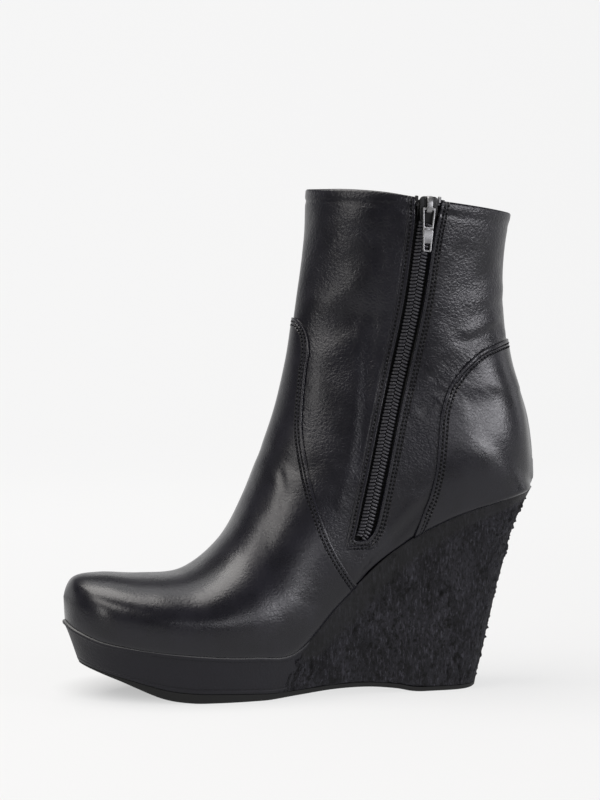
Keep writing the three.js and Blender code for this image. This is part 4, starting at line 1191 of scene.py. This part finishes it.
def platform_profile(u, k):
    low = outsole_share(u, GAP)
    above = k - TUCK_ROWS - SIDE_ROWS
    f = np.clip((k - TUCK_ROWS) / SIDE_ROWS, 0, 1)
    up = np.clip(above / LIP_ROWS, 0, 1) * math.pi
    foot = COVER_OUT + 0.1
    lip_out = foot + (LIP_OUT + 0.2 - foot) * np.sin(up) ** 0.8 - ease(up, 2.0, math.pi) * 0.9
    lip_rise = -LIP_HEIGHT + LIP_HEIGHT / 2 * (1 - np.cos(up)) + LIP_RISE * up / math.pi
    on_lip, hidden = above > 0, above > LIP_ROWS
    out = np.where(on_lip, lip_out, COVER_OUT - 0.6 + 0.7 * f ** 0.7)
    out = np.where(hidden, -1.5 * (above - LIP_ROWS), out)
    out = np.where(k < TUCK_ROWS, -TUCK_STEP * (TUCK_ROWS - k), out)
    rise = np.where(hidden, -0.2, np.where(on_lip, lip_rise, -LIP_HEIGHT * f ** 3))
    return np.where(on_lip, 1.0, low + (1 - low) * f), out, rise


platform_rows = TUCK_ROWS + SIDE_ROWS + LIP_ROWS + HIDDEN_ROWS
platform = profile_sheet(PLATFORM_COLUMNS, platform_rows, platform_profile)
trim(platform, lambda p: joint_value(p) - PLATFORM_END)
face_outwards(platform, (-90, 0, 15))
cover_finish = Finish("cover_leather", specular=0.25)
cover_grain = cover_finish.noise(0.0012, 4, 0.65)
cover_slow = cover_finish.noise(0.012, 3)
level = cover_finish.measure("column")
# Painted highlight: a pale band is coloured along the lip's crest, where the leather is also smoother.
lip_highlight = level.near(LIP_CREST, LIP_HIGHLIGHT_WIDTH)
cover_tone = cover_finish.blend(cover_slow, grey(0.005, 0.4), grey(0.008, 0.4))
cover_height = cover_grain * 0.00016 + cover_finish.cells(0.002).between(0, 0.3) * 0.00006
cover_leather = cover_finish.set(
    cover_finish.blend(lip_highlight, cover_tone, grey(0.11)),
    0.42 + cover_grain * 0.16 + cover_slow * 0.08 - lip_highlight * 0.15,
    cover_height + cover_slow * 0.0003 - level.near(GROOVE_LEVEL, GROOVE_WIDTH) * 0.0004,
)
platform_piece = piece("platform_cover", platform, [cover_leather])
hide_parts("platform")

# Wedge
# Covered in split leather with its rough side out, worn and torn into upright fibres and pits, with a
# smoother band along the upper and a ragged front edge lapped over the platform.
BAND = np.array([(48, 5.0), (20, 7.5), (-10, 11), (-40, 17), (-60, 15), (-72, 3)])[::-1]
WEDGE_COLUMNS, WEDGE_ROWS = 620, 120
HEEL_FLUSH = 1.1
SWELL, FIBRE, PIT, TEAR, CLUMP = 0.3, 0.26, 0.8, 0.9, 1.3
FRONT_EDGE, FRONT_RISE = 12, 0.45


def wedge_profile(u, k):
    low = outsole_share(u, GAP)
    f = np.clip((k - TUCK_ROWS) / (WEDGE_ROWS - HIDDEN_ROWS - TUCK_ROWS), 0, 1)
    share = low + (1 - low) * f
    out = COVER_OUT * np.minimum(1, 0.1 + f * 1.25)
    out = out + HEEL_FLUSH * ease(share, 0.78, 1) * ease(np.abs(u - 0.5), 0.06, 0.01)
    hidden = k > WEDGE_ROWS - HIDDEN_ROWS
    out = np.where(hidden, out - 1.2 * (k - WEDGE_ROWS + HIDDEN_ROWS), out)
    out = np.where(k < TUCK_ROWS, -TUCK_STEP * (TUCK_ROWS - k), out)
    return share, out, -GAP * f


def fractal(p, size, stretch, octaves):
    at = Vector((p[0] / size, p[1] / size, p[2] / size / stretch))
    return noise.fractal(at, 0.9, 2.1, octaves)


wedge = profile_sheet(WEDGE_COLUMNS, WEDGE_ROWS, wedge_profile)


def ragged(points):
    """The cover's torn front edge; it never leaves the platform's end bare."""
    shift = np.array([1.2 + 3.2 * fractal(p, 6.0, 1.0, 3) + 1.8 * fractal(p, 2.0, 1.6, 3) for p in points])
    return np.maximum(shift, PLATFORM_END - 0.3) - joint_value(points)


trim(wedge, ragged)
face_outwards(wedge, (0, 0, 40))
wedge_at = mesh_points(wedge)
depth_below = seat_at(wedge_at[:, 0]) - wedge_at[:, 2]
band = np.interp(wedge_at[:, 0], BAND[:, 0], BAND[:, 1])
rough = ease(depth_below, band * 0.75, band * 1.25 + 1)
edge_near = ease(-joint_value(wedge_at), FRONT_EDGE, 0)
heights = np.zeros(len(wedge_at))
pits = np.zeros(len(wedge_at))
for k, (p, r, near) in enumerate(zip(wedge_at, rough, edge_near)):
    pit = max(0.0, fractal(p + 40, 3.2, 2.2, 4) - 0.42) * 2.2
    tear = max(0.0, fractal(p + 90, 2.2, 4.0, 3) - 0.35) * near
    back = max(0.0, (p[0] - 12) / 30)
    clump = max(0.0, fractal(p + 150, 2.4, 1.0, 3) - 0.38) * min(back, 1.0) * 3.2
    height = FIBRE * fractal(p, 0.9, 5.0, 3) + SWELL * fractal(p, 7.0, 2.0, 4)
    height += min(clump, CLUMP) - PIT * min(pit, 1) - TEAR * tear
    heights[k] = r * height + FRONT_RISE * near
    pits[k] = r * min(1.0, pit + tear * 1.3)
# Painted shade: the pits and tears are kept so that their colour can be darkened.
keep_measure(wedge, "pit", pits)
keep_measure(wedge, "rough", rough)
raise_by(wedge, heights)

rough_finish = Finish("wedge_leather", specular=0.2)
fibres = rough_finish.noise(0.001, 5, 0.75, (1, 1, 0.22), 0.3)
felt = rough_finish.noise(0.0012, 5, 0.75, (1, 1, 0.5))
clusters = rough_finish.noise(0.017, 3, 0.5, (1, 1, 0.7)).between(0.42, 0.62)
shaded_holes = rough_finish.noise(0.0034, 5, 0.75, (1, 1, 0.7)).between(0.54, 0.64) * clusters
worn = rough_finish.measure("rough")
pit_shade = rough_finish.measure("pit")
patch = rough_finish.noise(0.011, 4, 0.6, (1, 1, 0.4)).between(0.35, 0.65)
rough_tone = rough_finish.blend(patch, grey(0.009, 0.2), grey(0.022, 0.2))
rough_tone = rough_finish.blend(fibres.between(0.51, 0.64) * 0.75, rough_tone, grey(0.058, 0.2))
rough_tone = rough_finish.blend(felt.between(0.52, 0.4) * 0.85, rough_tone, grey(0.002))
# Painted shade: the holes are coloured near black as well as sunk.
rough_tone = rough_finish.blend(shaded_holes * 0.95, rough_tone, grey(0.001))
tone = rough_finish.blend(worn * 0.7 + 0.3, grey(0.0015), rough_tone)
# Painted shade: the colour is darkened in the pits and tears.
tone = rough_finish.blend(pit_shade, tone, grey(0.003))
rough_leather = rough_finish.set(
    tone,
    0.5 + worn * 0.2 + felt * 0.16,
    (fibres * 0.0011 + felt * 0.0014 - shaded_holes * 0.001) * (worn * 0.8 + 0.2),
)
wedge_piece = piece("wedge_cover", wedge, [rough_leather])
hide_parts("wedge")

# Outsole
# Thin black rubber moulded in one piece, glued under platform and wedge, with a fine tread across it.
# It springs up at the toe, is flat at the ball and the heel, and arches at the waist.
rubber_finish = Finish("rubber", specular=0.22)
rubber_grain = rubber_finish.noise(0.0009, 4, 0.7)
tread = rubber_finish.bands("X", 160, 1.5, 1)
underside = rubber_finish.measure("under")
rubber = rubber_finish.set(
    rubber_finish.blend(rubber_grain, grey(0.006), grey(0.012)),
    0.62 + rubber_grain * 0.2,
    rubber_grain * 0.00012 + tread * underside * 0.0008,
)
OUTSOLE_COLUMNS, OUTSOLE_ROWS = 420, 30
FLOOR_ROWS, EDGE_ROWS = 12, 12


def outsole_point(u, v):
    """Rows run from the middle of the underside to its edge, up the side and in over the top."""
    k = np.rint(v * OUTSOLE_ROWS).astype(int)
    above = k - FLOOR_ROWS - EDGE_ROWS
    f = np.clip((k - FLOOR_ROWS) / EDGE_ROWS, 0, 1)
    out = np.where(above > 0, -1.2 * above, -0.9 + 1.1 * np.minimum(f * 3, 1) ** 0.5)
    p = sole_side(u, outsole_share(u, 0) * f, out)
    o, _, _ = station(u)
    x = along(o[..., 3])
    centre = np.stack([x, o[..., 4] * BALL_WIDTH, ground_at(x)], -1)
    reach = np.clip(k / FLOOR_ROWS, 0, 1)[..., None]
    return np.where(reach < 1, centre + (p - centre) * reach, p)


outsole = sheet(OUTSOLE_COLUMNS, OUTSOLE_ROWS, outsole_point)
bmesh.ops.remove_doubles(outsole, verts=outsole.verts, dist=SOLE_MERGE)
face_outwards(outsole, (-30, 0, 3))
outsole.normal_update()
keep_measure(outsole, "under", [1.0 if v.normal.z < -0.8 else 0.0 for v in outsole.verts])
outsole_piece = piece("outsole_rubber", outsole, [rubber])
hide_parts("outsole")

# Footbed
# A thin board in dark leather, padded under the heel and laid in last. It is seen down the shaft and
# stands for the insole.
FOOTBED_INSET = 4.3
FOOTBED_THICKNESS = 3
FOOTBED_TOE, FOOTBED_HEEL = -175.2, 47.7
PAD_HEIGHT = 1.4
bed_finish = Finish("footbed")
footbed = bed_finish.set(
    bed_finish.blend(bed_finish.noise(0.01, 3), grey(0.016), grey(0.028)),
    0.6 + bed_finish.noise(0.002, 3) * 0.2,
    bed_finish.cells(0.0012).between(0, 0.2) * 0.00005,
)


def bed_point(u, v):
    """u runs from heel to toe, v round the footbed's section."""
    x = FOOTBED_HEEL + (FOOTBED_TOE - FOOTBED_HEEL) * (1 - np.cos(u * math.pi)) / 2
    half = np.maximum(half_at(x) - FOOTBED_INSET, 0.3)
    c, s = np.cos(v * 2 * math.pi), np.sin(v * 2 * math.pi)
    y = mid_at(x) + half * np.sign(c) * np.abs(c) ** 0.5
    z = seat_at(x) + FOOTBED_THICKNESS / 2 * (1 + np.sign(s) * np.abs(s) ** 0.5)
    pad = np.exp(-((x - 20) / 20) ** 2 - (y / 15) ** 2) * PAD_HEIGHT
    return np.stack([x, y, z + np.where(s > 0, pad, 0)], -1)


bed = sheet(120, 48, bed_point)
bmesh.ops.remove_doubles(bed, verts=bed.verts, dist=MERGE)
bmesh.ops.holes_fill(bed, edges=bed.edges)
bmesh.ops.recalc_face_normals(bed, faces=bed.faces)
bed_piece = piece("footbed", bed, [footbed])
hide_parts("insole")

# Studio
# A pale sweep curves up behind the boot and is dark out of view at the left. Soft boxes hang high at the
# left and stand beside it and at the right. The camera is on the inner side, a little ahead of the boot.
SWEEP_FRONT, SWEEP_BACK, SWEEP_CURVE, SWEEP_TOP, SWEEP_HALF = 3.2, 1.3, 0.7, 3.2, 3.5
quarter = SWEEP_CURVE * math.pi / 2
sweep = bmesh.new()
bmesh.ops.create_grid(sweep, x_segments=1, y_segments=40, size=1)
for vert in sweep.verts:
    run = (vert.co.y + 1) / 2 * (SWEEP_FRONT + SWEEP_BACK + quarter + SWEEP_TOP) - SWEEP_FRONT
    bend = min(max(run - SWEEP_BACK, 0) / SWEEP_CURVE, math.pi / 2)
    up = max(run - SWEEP_BACK - quarter, 0)
    y = min(run, SWEEP_BACK) + SWEEP_CURVE * math.sin(bend)
    vert.co = (vert.co.x * SWEEP_HALF, y, SWEEP_CURVE * (1 - math.cos(bend)) + up)
sweep_finish = Finish("sweep", specular=0.0)
SWEEP_GLOW = 0.8
at_x, at_y, at_z = (
    sweep_finish.node("ShaderNodeSeparateXYZ", None, {"Vector": sweep_finish.place()}, k) for k in range(3)
)
beside = at_x.between(-0.85, -0.4) + at_y.between(0.9, 1.3) * at_x.between(-0.4, -0.85)
pale = at_y.between(-0.65, -0.3) * beside * at_z.between(1.0, 0.6)
glow = sweep_finish.blend(at_y.between(0.0, 1.1), grey(0.905), grey(1.0))
# Painted shadow: the floor's glow is darkened under the toe
from_toe, from_side = (at_x + 0.116) * (1 / 0.07), (at_y - 0.018) * (1 / 0.06)
painted_toe_shadow = (from_toe * from_toe + from_side * from_side).between(1.0, 0.1)
glow = sweep_finish.blend(painted_toe_shadow * 0.45, glow, grey(0.2))
glow = sweep_finish.blend(pale, grey(0.1), glow)
sweep_finish.feed(sweep_finish.shader.inputs["Emission Color"], glow)
sweep_finish.shader.inputs["Emission Strength"].default_value = SWEEP_GLOW
sweep_colour = sweep_finish.blend(pale, grey(0.05), grey(0.12))
floor = smooth_object("sweep", sweep, [sweep_finish.set(sweep_colour, 1.0)])

world = bpy.data.worlds.new("studio")
world.use_nodes = True
world.node_tree.nodes["Background"].inputs["Color"].default_value = (1, 1, 1, 1)
world.node_tree.nodes["Background"].inputs["Strength"].default_value = 0.2
bpy.context.scene.world = world
WARM, MILD, COOL = (1, 0.97, 0.94), (1, 0.98, 0.96), (0.96, 0.95, 1)


def soft_box(name, place, aim, size, power, tint=(1, 1, 1)):
    data = bpy.data.lights.new(name, "AREA")
    data.shape = "RECTANGLE"
    data.size, data.size_y = size
    data.energy = power
    data.color = tint
    light = bpy.data.objects.new(name, data)
    light.location = place
    light.rotation_euler = (Vector(aim) - Vector(place)).to_track_quat("-Z", "Y").to_euler()
    bpy.context.scene.collection.objects.link(light)


soft_box("high", (-0.5, 0.1, 1.3), (-0.1, 0, 0.1), (0.8, 1.15), 21.5, WARM)
soft_box("high_left", (-1.0, -0.62, 0.94), (-0.08, 0, 0.1), (1.0, 0.42), 8.5, WARM)
soft_box("tall_left", (-1.25, -0.66, 0.3), (-0.05, 0, 0.16), (0.22, 0.5), 2.6, MILD)
soft_box("right", (1.02, -0.86, 0.38), (0.02, 0, 0.13), (0.95, 0.27), 12, COOL)
soft_box("right_low", (0.3, -1.3, 0.3), (0.02, 0, 0.13), (0.5, 0.16), 1.7, COOL)
soft_box("far_right", (1.4, 0.35, 0.5), (0.02, 0, 0.15), (0.4, 0.8), 1.5, COOL)
soft_box("over", (0.0, 1.1, 1.9), (0, 1.4, 0.3), (1.8, 1.2), 12)

CAMERA_AWAY, PIXEL, PICTURE_HEIGHT = 1450, 0.49, 800
camera_data = bpy.data.cameras.new("camera")
camera_data.sensor_width = 36
camera_data.lens = camera_data.sensor_width * CAMERA_AWAY / PIXEL / PICTURE_HEIGHT
camera_data.clip_end = 50
camera = bpy.data.objects.new("camera", camera_data)
camera.location = Vector((-364.63, -1418.31, 240)) * MM
target = Vector((-63.16, 0, 142.54)) * MM
camera.rotation_euler = (target - camera.location).to_track_quat("-Z", "Y").to_euler()
bpy.context.scene.collection.objects.link(camera)
bpy.context.scene.camera = camera
bpy.context.scene.view_settings.view_transform = "Standard"
